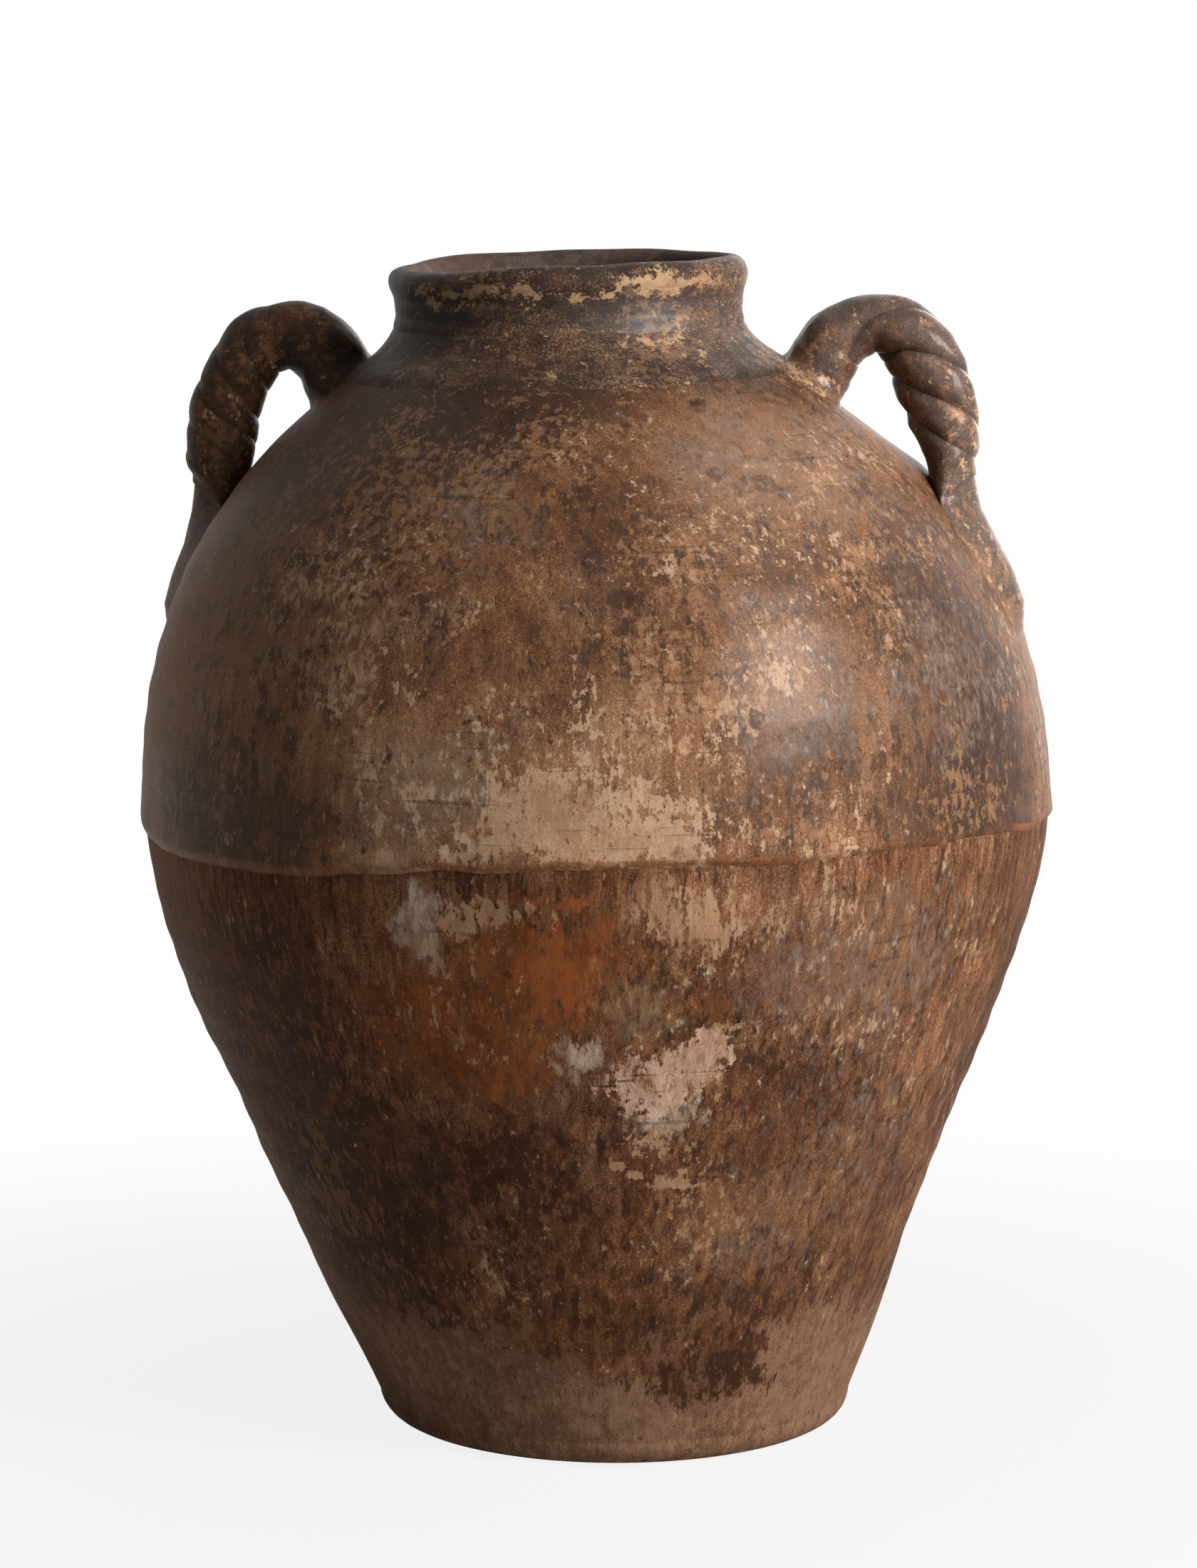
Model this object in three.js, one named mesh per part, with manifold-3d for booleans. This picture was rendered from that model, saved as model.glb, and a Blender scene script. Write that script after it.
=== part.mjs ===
// A large terracotta oil jar with two rope-twist handles, in millimetres, +Z up, standing on z = 0.
// The jar is built as a potter builds it: thrown sections seated in gutter joints, luting strips
// and coils pressed over the joints, a rolled rim, and handles twisted from three clay rolls.
import * as THREE from 'three';
import { mergeVertices } from 'three/addons/utils/BufferGeometryUtils.js';
import Module from 'manifold-3d';

const wasm = await Module();
wasm.setup();

// Heights of the sections, from the ground up
const floorThickness = 16;
const footHeight = 60;
const lowerBodyHeight = 314;
const upperBodyHeight = 287;
const neckHeight = 39;
const rimHeight = 24;

// Outside radii
const footRadius = 151.5;
const bellySeamRadius = 286;
const neckTopRadius = 108.5;
const neckFlare = 21.5;
const rimOverhang = 3.5;

// Slopes of the outside, in radius per height, and the share of its height over which a curve holds each
const footSlope = 0.393;
const footHoldRatio = 0.568;
const bellySlope = 0.06;
const bellyBelowHoldRatio = 0.215;
const bellyAboveHoldRatio = 0.389;
const shoulderSlope = -1.5;
const shoulderHoldRatio = 0.284;
const neckBelowHoldRatio = 0.2;
const neckTopSlope = 0.05;
const neckAboveHoldRatio = 0.5;

// Walls, joints and edges
const wallThickness = 14;
const neckThickness = 13;
const rimThickness = 21;
const rimTuck = 6;
const rimTuckAngle = THREE.MathUtils.degToRad(25);
const footEdgeRound = 15;
const gutterDepth = 4;
const seamGap = 0.3;

// Luting strips over the joints and coils inside them
const bellyBandReach = 14;
const bellyBandHeight = 4.5;
const neckBandBelow = 7;
const neckBandAbove = 10;
const neckBandHeight = 3.5;
const bandEdge = 1;
const bellyCoilReach = 21;
const bellyCoilHeight = 5;
const floorCoilSize = 18;

// Handles: the centreline rises from its seat on the shoulder over a crown and lands lower down, all placed
// from the neck's joint
const handleSeatDrop = 13;
const handleRootRise = { right: THREE.MathUtils.degToRad(45), left: THREE.MathUtils.degToRad(60) };
const handleCrownRise = 19;
const handleInnerRadius = 11;
const handleRadius = 22;
const handleLandDrop = 85;
const handleLandStandoff = 9;
const handleRootLength = 20;
const handleRootSwellRatio = 0.5;
const handleRootSink = 22;
const lobeOffset = 5.5;
const strandCount = 3;
const strandGap = 0.5;
const twistTurns = { right: 1.5, left: 2.1 };
const tailLead = 18;
const tailLength = 79;
const tailWidth = 58;
const tailEndWidth = 28;
const tailRise = 7;
const tailEndRise = 2.5;

// How the jar slumped while drying: foot and mouth lie off the belly's axis, and level rings tip a little
const footShift = 13;
const mouthShift = -20;
const footShiftPower = 2.25;
const mouthShiftPower = 1.5;
const mouthTilt = THREE.MathUtils.degToRad(1.6);
const seamRise = 8;

// Facet counts
const turns = 36;
const wallRows = 7;
const footRows = 2;
const leastRow = 5;
const neckRows = 5;
const roundRows = 5;
const strandSteps = 34;
const lobePoints = 5;
const ovalPoints = 12;
const rootSteps = 6;
const tailSteps = 16;

// Heights and radii that follow from the sections
const footSeamHeight = floorThickness + footHeight;
const bellySeamHeight = footSeamHeight + lowerBodyHeight;
const neckSeamHeight = bellySeamHeight + upperBodyHeight;
const rimSeamHeight = neckSeamHeight + neckHeight;
const jarHeight = rimSeamHeight + rimHeight;
const neckSeamRadius = neckTopRadius + neckFlare;
const rimRadius = neckTopRadius + rimOverhang;
const handleSeatHeight = neckSeamHeight - handleSeatDrop;
const handleArchRadius = handleRadius + handleInnerRadius;
const handleArchHeight = neckSeamHeight + handleCrownRise - handleArchRadius;
const handleLandHeight = neckSeamHeight - handleLandDrop;
const tailEndHeight = handleLandHeight - tailLength;

const fired = {
  wall: { color: 0x76573f, roughness: 0.62 },
  foot: { color: 0x8d6d52, roughness: 0.85 },
  band: { color: 0x80543a, roughness: 0.7 },
  inside: { color: 0x9a6f50, roughness: 0.8 },
  neck: { color: 0x5d4739, roughness: 0.55 },
  handle: { color: 0x5a4334, roughness: 0.5 },
};

// The outside profile as three curves of radius against height, joined at the seams with one slope
const lowerProfile = profileCurve(
  [footRadius, floorThickness], footSlope, footHoldRatio,
  [bellySeamRadius, bellySeamHeight], bellySlope, bellyBelowHoldRatio,
);
const upperProfile = profileCurve(
  [bellySeamRadius, bellySeamHeight], bellySlope, bellyAboveHoldRatio,
  [neckSeamRadius, neckSeamHeight], shoulderSlope, shoulderHoldRatio,
);
const neckProfile = profileCurve(
  [neckSeamRadius, neckSeamHeight], shoulderSlope, neckBelowHoldRatio,
  [neckTopRadius, rimSeamHeight], neckTopSlope, neckAboveHoldRatio,
);

function profileCurve([r0, z0], slope0, hold0, [r1, z1], slope1, hold1) {
  const rise = z1 - z0;
  return new THREE.CubicBezierCurve(
    new THREE.Vector2(r0, z0),
    new THREE.Vector2(r0 + slope0 * hold0 * rise, z0 + hold0 * rise),
    new THREE.Vector2(r1 - slope1 * hold1 * rise, z1 - hold1 * rise),
    new THREE.Vector2(r1, z1),
  );
}

// The outside point at a height, moved out along the surface normal and up along the surface
function surfacePoint(z, out = 0, along = 0) {
  const profile = z <= bellySeamHeight ? lowerProfile : z <= neckSeamHeight ? upperProfile : neckProfile;
  let low = 0;
  let high = 1;
  for (let i = 0; i < 40; i++) {
    const middle = (low + high) / 2;
    if (profile.getPoint(middle).y < z) low = middle;
    else high = middle;
  }
  const tangent = profile.getTangent(low);
  const normal = new THREE.Vector2(tangent.y, -tangent.x);
  return profile.getPoint(low).addScaledVector(normal, out).addScaledVector(tangent, along);
}

function heightsBetween(low, high, rows) {
  return Array.from({ length: rows + 1 }, (_, i) => THREE.MathUtils.lerp(low, high, i / rows));
}

// Heights at which strips and coils end, bend or peak. The walls have rows there too, so both share facets.
function stripHeights(low, ridge, high) {
  return [low, (low + ridge) / 2, ridge, (ridge + high) / 2, high];
}
const bellyBandHeights = stripHeights(
  bellySeamHeight - bellyBandReach, bellySeamHeight, bellySeamHeight + bellyBandReach,
);
const neckBandHeights = stripHeights(
  neckSeamHeight - neckBandBelow, neckSeamHeight, neckSeamHeight + neckBandAbove,
);
const bellyCoilHeights = [-bellyCoilReach, 0, bellyCoilReach].map((offset) => bellySeamHeight + offset);
const floorCoilTop = floorThickness + seamGap + floorCoilSize;
const sharedHeights = [...bellyBandHeights, ...neckBandHeights, ...bellyCoilHeights, floorCoilTop];

function wallHeights(low, high, rows) {
  const shared = sharedHeights.filter((z) => z > low + seamGap && z < high - seamGap);
  const even = heightsBetween(low, high, rows).filter((z) => {
    const end = z === low || z === high;
    return end || shared.every((other) => Math.abs(other - z) > leastRow);
  });
  return [...new Set([...even, ...shared])].sort((a, b) => a - b);
}

// A solid of revolution about Z from a closed outline of (radius, height) points
function turned(outline) {
  const points = outline[0].x === 0 ? outline : [...outline, outline[0]];
  return new THREE.LatheGeometry(points, turns).rotateX(Math.PI / 2);
}

// One thrown ring of wall. Its top edge carries a gutter and its bottom edge the matching tongue.
function wallRing(low, high, thickness, rows, flatFoot = false) {
  const heights = wallHeights(low, high, rows);
  const outside = heights.map((z) => surfacePoint(z));
  const inside = heights.map((z) => surfacePoint(z, -thickness)).reverse();
  const gutter = surfacePoint(high, -thickness / 2, -gutterDepth);
  const tongue = surfacePoint(low, -thickness / 2, -gutterDepth);
  if (flatFoot) {
    const heel = inside[inside.length - 1];
    const next = inside[inside.length - 2];
    const slope = (next.x - heel.x) / (next.y - heel.y);
    inside[inside.length - 1] = new THREE.Vector2(heel.x + slope * (low - heel.y), low);
    return turned([...outside, gutter, ...inside]);
  }
  return turned([...outside, gutter, ...inside, tongue]);
}

function floorDisc() {
  const edge = new THREE.QuadraticBezierCurve(
    new THREE.Vector2(footRadius - footEdgeRound, 0),
    new THREE.Vector2(footRadius - footEdgeRound / 3, 0),
    new THREE.Vector2(footRadius, floorThickness),
  ).getPoints(roundRows);
  return turned([new THREE.Vector2(0, 0), ...edge, new THREE.Vector2(0, floorThickness)]);
}

// The rolled rim: an oval roll that draws in to the neck's top edge and sits in its gutter
function rolledRim() {
  const halfHeight = (rimHeight - seamGap - rimTuck) / (1 + Math.sin(rimTuckAngle));
  const halfThickness = rimThickness / 2;
  const roll = new THREE.EllipseCurve(
    rimRadius - halfThickness, jarHeight - halfHeight, halfThickness, halfHeight, -rimTuckAngle, Math.PI,
  ).getPoints(2 * roundRows);
  const outer = surfacePoint(rimSeamHeight, 0, seamGap);
  const inner = surfacePoint(rimSeamHeight, -neckThickness, seamGap);
  const tongue = surfacePoint(rimSeamHeight, -neckThickness / 2, seamGap - gutterDepth);
  return turned([outer, ...roll, inner, tongue]);
}

// The outer face of a strip pressed over a joint, from its lower edge to its upper edge
function bandFace(heights, height) {
  const flank = (height + bandEdge) / 2;
  const profile = [bandEdge, flank, height, flank, bandEdge];
  return heights.map((z, i) => surfacePoint(z, profile[i]));
}

function band(heights, height) {
  const back = heights.map((z) => surfacePoint(z, seamGap)).reverse();
  return turned([...bandFace(heights, height), ...back]);
}

// The coil pressed flat over the belly joint from inside
function bellyCoil() {
  const face = wallThickness + seamGap;
  const touching = wallHeights(bellyCoilHeights[0], bellyCoilHeights[2], 1);
  const back = touching.map((z) => surfacePoint(z, -face));
  const front = bellyCoilHeights.map((z) => {
    const swell = z === bellySeamHeight ? bellyCoilHeight : bandEdge;
    return surfacePoint(z, -face - swell);
  });
  return turned([...back, ...front.reverse()]);
}

// The fillet coil pressed into the corner between floor and wall
function floorCoil() {
  const base = floorThickness + seamGap;
  const foot = surfacePoint(base, -wallThickness - 2 * seamGap);
  const top = surfacePoint(floorCoilTop, -wallThickness - 2 * seamGap);
  const corner = new THREE.Vector2(foot.x - (foot.y - base) * footSlope, base);
  const toe = new THREE.Vector2(corner.x - floorCoilSize, base);
  const hollow = new THREE.QuadraticBezierCurve(
    new THREE.Vector2(top.x - bandEdge, top.y),
    new THREE.Vector2(corner.x - floorCoilSize / 3, base + floorCoilSize / 3),
    new THREE.Vector2(toe.x, base + bandEdge),
  ).getPoints(roundRows);
  return turned([corner, top, ...hollow, toe]);
}

// Everything inside the jar's outside face and neck strip, grown by the seating gap. It trims the handles.
function jarEnvelope() {
  const walls = wallHeights(bellySeamHeight + seamGap, neckSeamHeight, wallRows);
  const neck = wallHeights(neckSeamHeight + seamGap, rimSeamHeight, neckRows);
  const below = walls.filter((z) => z < neckBandHeights[0]);
  const above = neck.filter((z) => z > neckBandHeights[neckBandHeights.length - 1]);
  const strip = bandFace(neckBandHeights, neckBandHeight);
  const outside = [
    ...below.map((z) => surfacePoint(z, seamGap)),
    surfacePoint(neckBandHeights[0], seamGap, -seamGap),
    ...strip.map((p) => new THREE.Vector2(p.x + 2 * seamGap, p.y)),
    ...above.map((z) => surfacePoint(z, seamGap)),
  ];
  const top = outside[outside.length - 1];
  return turned([
    new THREE.Vector2(0, bellySeamHeight), new THREE.Vector2(outside[0].x, bellySeamHeight), ...outside,
    new THREE.Vector2(0, top.y),
  ]);
}

function solidOf(geometry) {
  const bare = new THREE.BufferGeometry().setAttribute('position', geometry.getAttribute('position'));
  bare.setIndex(geometry.getIndex());
  const merged = mergeVertices(bare, 1e-3);
  const corners = merged.getIndex().array;
  const triVerts = [];
  for (let i = 0; i < corners.length; i += 3) {
    const [a, b, c] = corners.slice(i, i + 3);
    if (a !== b && b !== c && c !== a) triVerts.push(a, b, c);
  }
  return new wasm.Manifold(new wasm.Mesh({
    numProp: 3,
    vertProperties: merged.getAttribute('position').array,
    triVerts: new Uint32Array(triVerts),
  }));
}

function geometryOf(solid) {
  const mesh = solid.getMesh();
  return new THREE.BufferGeometry()
    .setAttribute('position', new THREE.BufferAttribute(new Float32Array(mesh.vertProperties), 3))
    .setIndex(new THREE.BufferAttribute(new Uint32Array(mesh.triVerts), 1));
}

function trimmedBy(tool, geometry) {
  return geometryOf(solidOf(geometry).subtract(tool));
}

// A closed body through equal rings of points. Quads on the crossed sides split along the other diagonal.
function loft(rings, crossed = []) {
  const count = rings[0].length;
  const index = [];
  for (let i = 0; i + 1 < rings.length; i++) {
    for (let j = 0; j < count; j++) {
      const a = i * count + j;
      const b = i * count + ((j + 1) % count);
      const c = a + count;
      const d = b + count;
      if (crossed.includes(j)) index.push(a, b, c, b, d, c);
      else index.push(a, b, d, a, d, c);
    }
  }
  const last = (rings.length - 1) * count;
  for (let j = 1; j + 1 < count; j++) {
    index.push(0, j + 1, j);
    index.push(last, last + j, last + j + 1);
  }
  return new THREE.BufferGeometry().setFromPoints(rings.flat()).setIndex(index);
}

// The handle's centreline in radius and height: a root rising out of the shoulder, an arch, a straight leg
// down to the shoulder and a tail that sinks into it
function handlePath(side) {
  const rise = new THREE.Vector2(1, 0).rotateAround(new THREE.Vector2(0, 0), handleRootRise[side]);
  const seat = surfacePoint(handleSeatHeight);
  const sunk = seat.clone().addScaledVector(rise, -handleRootSink);
  const rootRun = (handleArchHeight + handleArchRadius * rise.x - seat.y) / rise.y;
  const archStart = seat.clone().addScaledVector(rise, rootRun);
  const centre = new THREE.Vector2(archStart.x + handleArchRadius * rise.y, handleArchHeight);
  const land = surfacePoint(handleLandHeight, handleLandStandoff);
  const toLand = land.clone().sub(centre);
  const legAngle = toLand.angle() + Math.acos(handleArchRadius / toLand.length());
  const archEnd = new THREE.Vector2(centre.x + handleArchRadius, centre.y).rotateAround(centre, legAngle);
  const legEnd = land.clone().addScaledVector(land.clone().sub(archEnd).normalize(), -tailLead);
  const tail = [1 / 3, 2 / 3, 1].map((share) => surfacePoint(
    THREE.MathUtils.lerp(handleLandHeight, tailEndHeight, share), handleLandStandoff * (1 - share),
  ));
  const path = new THREE.CurvePath();
  path.add(new THREE.LineCurve(sunk, archStart));
  path.add(new THREE.EllipseCurve(
    centre.x, centre.y, handleArchRadius, handleArchRadius, rise.angle() + Math.PI / 2, legAngle, true,
  ));
  path.add(new THREE.LineCurve(archEnd, legEnd));
  path.add(new THREE.SplineCurve([legEnd, land, ...tail]));
  return path;
}

// A ring of section points (x towards the inside of the arch, y across it) at a station of the centreline
function ringAt(path, station, section) {
  const centre = path.getPoint(station);
  const along = path.getTangent(station);
  return section.map((p) => new THREE.Vector3(centre.x + along.y * p.x, p.y, centre.y - along.x * p.x));
}

function oval(halfThickness, halfWidth) {
  return Array.from({ length: ovalPoints }, (_, i) => {
    const angle = (2 * Math.PI * i) / ovalPoints;
    return new THREE.Vector2(halfThickness * Math.cos(angle), halfWidth * Math.sin(angle));
  });
}

// One third of the twisted bar: a wedge from the bar's heart to a round lobe
function strandSection(strand, angle) {
  const half = Math.PI / strandCount;
  const lobeRadius = handleRadius - lobeOffset;
  const heart = new THREE.Vector2(0, 0);
  const lobe = Array.from({ length: lobePoints + 1 }, (_, i) => {
    const turn = THREE.MathUtils.lerp(-half, half, i / lobePoints);
    const side = lobeOffset * Math.sin(turn);
    const reach = lobeOffset * Math.cos(turn) + Math.sqrt(lobeRadius ** 2 - side ** 2);
    return new THREE.Vector2(reach * Math.cos(turn), reach * Math.sin(turn));
  });
  const shift = new THREE.Vector2(strandGap / 2 / Math.sin(half), 0);
  const pivot = new THREE.Vector2(0, 0);
  return [heart, ...lobe].map((p) => p.add(shift).rotateAround(pivot, 2 * half * strand + angle));
}

function handleParts(side) {
  const path = handlePath(side);
  const length = path.getLength();
  const rootEnd = (handleRootSink + handleRootLength) / length;
  const tailStart = path.getCurveLengths()[2] / length;
  const landed = tailStart + (2 * tailLead) / length;
  const gap = seamGap / length;
  const envelope = solidOf(jarEnvelope());
  const parts = {};

  parts.upper_root = trimmedBy(envelope, loft(heightsBetween(0, rootEnd, rootSteps).map((station) => {
    const swell = handleRootSwellRatio * (1 - station / rootEnd) ** 2;
    return ringAt(path, station, oval(handleRadius * (1 + swell / 2), handleRadius * (1 + swell)));
  })));

  for (let strand = 0; strand < strandCount; strand++) {
    const rings = heightsBetween(rootEnd + gap, tailStart - gap, strandSteps).map((station, i) => {
      const angle = -2 * Math.PI * twistTurns[side] * (i / strandSteps);
      return ringAt(path, station, strandSection(strand, angle));
    });
    parts[`strand_${strand + 1}`] = trimmedBy(envelope, loft(rings, [0]));
  }

  parts.lower_tail = trimmedBy(envelope, loft(heightsBetween(tailStart, 1, tailSteps).map((station) => {
    const settle = THREE.MathUtils.smoothstep(station, tailStart, landed);
    const fade = THREE.MathUtils.smoothstep(station, landed, 1);
    const rise = THREE.MathUtils.lerp(tailRise, tailEndRise, fade);
    const halfWidth = THREE.MathUtils.lerp(tailWidth, tailEndWidth, fade) / 2;
    return ringAt(path, station, oval(
      THREE.MathUtils.lerp(handleRadius, rise, settle),
      THREE.MathUtils.lerp(handleRadius, halfWidth, settle),
    ));
  })));
  return parts;
}

// Moves each point as the drying jar slumped: sideways by height, and up or down across each ring
function slump(geometry) {
  const position = geometry.getAttribute('position');
  for (let i = 0; i < position.count; i++) {
    const x = position.getX(i);
    const y = position.getY(i);
    const z = position.getZ(i);
    const below = Math.max(0, 1 - z / bellySeamHeight);
    const above = Math.max(0, (z - bellySeamHeight) / (jarHeight - bellySeamHeight));
    const shift = footShift * below ** footShiftPower + mouthShift * above ** mouthShiftPower;
    const tip = Math.tan(mouthTilt) * (z / jarHeight) * x;
    const ripple = seamRise * ((1 - below) * (1 - Math.min(above, 1))) ** 2 * (-y / bellySeamRadius);
    position.setXYZ(i, x + shift, y, z + tip + ripple);
  }
  return geometry;
}

const jar = new THREE.Group();

function add(name, geometry, finish) {
  const material = new THREE.MeshStandardMaterial({ ...fired[finish], metalness: 0 });
  const mesh = new THREE.Mesh(slump(geometry), material);
  mesh.name = name;
  jar.add(mesh);
}

add('floor_disc', floorDisc(), 'foot');
const footStart = floorThickness + seamGap;
add('foot_section', wallRing(footStart, footSeamHeight, wallThickness, footRows, true), 'foot');
add('lower_body', wallRing(footSeamHeight + seamGap, bellySeamHeight, wallThickness, wallRows), 'wall');
add('upper_body', wallRing(bellySeamHeight + seamGap, neckSeamHeight, wallThickness, wallRows), 'wall');
add('neck_collar', wallRing(neckSeamHeight + seamGap, rimSeamHeight, neckThickness, neckRows), 'neck');
add('rolled_rim', rolledRim(), 'neck');
add('belly_band', band(bellyBandHeights, bellyBandHeight), 'band');
add('neck_band', band(neckBandHeights, neckBandHeight), 'neck');
add('belly_inner_coil', bellyCoil(), 'inside');
add('floor_inner_coil', floorCoil(), 'inside');

for (const side of ['right', 'left']) {
  for (const [piece, geometry] of Object.entries(handleParts(side))) {
    if (side === 'left') geometry.rotateZ(Math.PI);
    add(`${side}_handle_${piece}`, geometry, 'handle');
  }
}

export default jar;
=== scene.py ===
import bpy
import math
from bisect import bisect_left
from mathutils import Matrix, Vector, noise
from mathutils.geometry import interpolate_bezier


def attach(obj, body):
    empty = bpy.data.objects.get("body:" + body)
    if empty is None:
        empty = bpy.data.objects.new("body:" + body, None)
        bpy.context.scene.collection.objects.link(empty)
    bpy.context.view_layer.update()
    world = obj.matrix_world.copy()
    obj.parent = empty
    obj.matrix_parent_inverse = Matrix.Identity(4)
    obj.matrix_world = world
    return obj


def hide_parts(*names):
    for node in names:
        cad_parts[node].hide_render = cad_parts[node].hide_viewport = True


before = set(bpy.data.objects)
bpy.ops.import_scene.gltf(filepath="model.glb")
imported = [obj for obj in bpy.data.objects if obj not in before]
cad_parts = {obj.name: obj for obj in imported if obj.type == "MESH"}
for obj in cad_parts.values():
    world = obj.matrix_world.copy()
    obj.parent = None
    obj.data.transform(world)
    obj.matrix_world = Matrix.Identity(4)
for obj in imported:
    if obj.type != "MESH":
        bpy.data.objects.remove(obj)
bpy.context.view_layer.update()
print("frame loaded")

# The camera stands a little right of the jar's front and looks down by about nine degrees
photoCamera = {
    "distance": 3.3456,
    "height": 0.9182,
    "azimuth": math.radians(9),
    "aimHeight": 0.4061,
    "sideStep": 0.0017,
    "lens": 121.98,
    "farClip": 50,
}


def aroundJar(azimuth, distance, height):
    return Vector((math.sin(azimuth) * distance, -math.cos(azimuth) * distance, height))


def placeCamera(look):
    side = Vector((math.cos(look["azimuth"]), math.sin(look["azimuth"]), 0)) * look["sideStep"]
    eye = aroundJar(look["azimuth"], look["distance"], look["height"]) + side
    aim = Vector((0, 0, look["aimHeight"])) + side
    bpy.ops.object.camera_add(location=eye, rotation=(aim - eye).to_track_quat("-Z", "Y").to_euler())
    camera = bpy.context.active_object
    camera.name = "photoCamera"
    camera.data.lens = look["lens"]
    camera.data.clip_end = look["farClip"]
    bpy.context.scene.camera = camera


placeCamera(photoCamera)
print("camera placed")

# Soft light from the right of the camera, a weak fill, a cool edge from the left, and a lamp for the back
softLamps = [
    {"name": "keyLamp", "azimuth": 64, "distance": 2.4, "height": 1.55,
     "size": 1.3, "energy": 98, "tint": (1, 0.97, 0.94)},
    {"name": "fillLamp", "azimuth": -15, "distance": 3.4, "height": 1.6,
     "size": 2.0, "energy": 4, "tint": (1, 0.98, 0.96)},
    {"name": "edgeLamp", "azimuth": -118, "distance": 2.4, "height": 1.3,
     "size": 1.2, "energy": 1.2, "tint": (0.94, 0.97, 1)},
    {"name": "backLamp", "azimuth": 165, "distance": 2.8, "height": 1.0,
     "size": 1.8, "energy": 36, "tint": (1, 0.98, 0.96)},
]
lampAim = Vector((0, 0, 0.38))


def hangLamp(lamp):
    place = aroundJar(math.radians(lamp["azimuth"]), lamp["distance"], lamp["height"])
    facing = (lampAim - place).to_track_quat("-Z", "Y").to_euler()
    bpy.ops.object.light_add(type="AREA", location=place, rotation=facing)
    light = bpy.context.active_object
    light.name = lamp["name"]
    light.data.size = lamp["size"]
    light.data.energy = lamp["energy"]
    light.data.color = lamp["tint"]


for lamp in softLamps:
    hangLamp(lamp)
print("lamps hung")


def setStops(elements, stops):
    elements.remove(elements[1])
    (level, colour), *rest = stops
    elements[0].position, elements[0].color = level, colour
    for level, colour in rest:
        elements.new(level).color = colour


# Shader sockets that add, subtract and multiply like numbers
class Sock:
    def __init__(self, tree, socket=None):
        self.tree = tree
        self.socket = socket

    def node(self, kind, settings, sockets, out=0):
        made = self.tree.nodes.new(kind)
        for key, value in settings.items():
            if key == "stops":
                setStops(made.color_ramp.elements, value)
            else:
                setattr(made, key, value)
        for key, value in sockets.items():
            if isinstance(value, Sock):
                self.tree.links.new(value.socket, made.inputs[key])
            else:
                made.inputs[key].default_value = value
        return Sock(self.tree, made.outputs[out]) if made.outputs else None

    def maths(self, operation, first, second):
        return self.node("ShaderNodeMath", {"operation": operation}, {0: first, 1: second})

    def __add__(self, other):
        return self.maths("ADD", self, other)

    def __radd__(self, other):
        return self.maths("ADD", other, self)

    def __sub__(self, other):
        return self.maths("SUBTRACT", self, other)

    def __rsub__(self, other):
        return self.maths("SUBTRACT", other, self)

    def __mul__(self, other):
        return self.maths("MULTIPLY", self, other)

    def __rmul__(self, other):
        return self.maths("MULTIPLY", other, self)


def vectorMaths(operation, sockets, out=0):
    return sockets[0].node("ShaderNodeVectorMath", {"operation": operation}, sockets, out)


def fade(value, low, high, start=0, end=1):
    return value.node("ShaderNodeMapRange", {"interpolation_type": "SMOOTHSTEP"},
                      {"Value": value, "From Min": low, "From Max": high, "To Min": start, "To Max": end})


# The floor and the world are white to the camera, and the floor keeps the jar's shadow
worldLevel = 0.03
paleFloor = {"size": 14, "shadeFrom": 0.25, "shadeTo": 1.1, "shadeGlow": 0.85, "tone": (0.5, 0.5, 0.5, 1)}
white = (1, 1, 1, 1)


def seenAsWhite(tree):
    return sum(Sock(tree).node("ShaderNodeLightPath", {}, {}, out=f"Is {ray} Ray")
               for ray in ("Camera", "Glossy", "Transmission"))


def paintWorld():
    world = bpy.data.worlds.new("paleRoom")
    world.use_nodes = True
    tree = world.node_tree
    tree.nodes.clear()
    seen = seenAsWhite(tree)
    level = seen.maths("MAXIMUM", seen, worldLevel)
    glow = seen.node("ShaderNodeBackground", {}, {"Color": white, "Strength": level})
    glow.node("ShaderNodeOutputWorld", {}, {"Surface": glow})
    bpy.context.scene.world = world


def paintFloor(look):
    bpy.ops.mesh.primitive_plane_add(size=look["size"])
    floor = bpy.context.active_object
    floor.name = "paleFloor"
    material = bpy.data.materials.new("paleFloor")
    material.use_nodes = True
    tree = material.node_tree
    tree.nodes.clear()
    seen = seenAsWhite(tree)
    place = Sock(tree).node("ShaderNodeTexCoord", {}, {}, out="Object")
    away = vectorMaths("LENGTH", {0: place}, out=1)
    share = fade(away, look["shadeFrom"], look["shadeTo"], look["shadeGlow"], 1)
    ground = seen.node("ShaderNodeBsdfDiffuse", {}, {"Color": look["tone"]})
    glow = seen.node("ShaderNodeEmission", {}, {"Color": white, "Strength": 1})
    mixed = seen.node("ShaderNodeMixShader", {}, {0: seen * share, 1: ground, 2: glow})
    mixed.node("ShaderNodeOutputMaterial", {}, {"Surface": mixed})
    floor.data.materials.append(material)


paintWorld()
paintFloor(paleFloor)
bpy.context.scene.view_settings.view_transform = "Standard"
print("room painted")

# The jar's sections from the ground up, in metres: heights of their joints, then outside radii and slopes
joints = {"floor": 0.016, "foot": 0.076, "belly": 0.39, "neck": 0.677, "rim": 0.716, "top": 0.74}
lowCurve = {"low": (0.1515, joints["floor"]), "lowSlope": 0.393, "lowHold": 0.568,
            "high": (0.286, joints["belly"]), "highSlope": 0.06, "highHold": 0.215}
highCurve = {"low": lowCurve["high"], "lowSlope": 0.06, "lowHold": 0.389,
             "high": (0.13, joints["neck"]), "highSlope": -1.5, "highHold": 0.284}
neckCurve = {"low": highCurve["high"], "lowSlope": -1.5, "lowHold": 0.2,
             "high": (0.1085, joints["rim"]), "highSlope": 0.05, "highHold": 0.5}
curveSteps = 160
slopeStep = 0.0015


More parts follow.
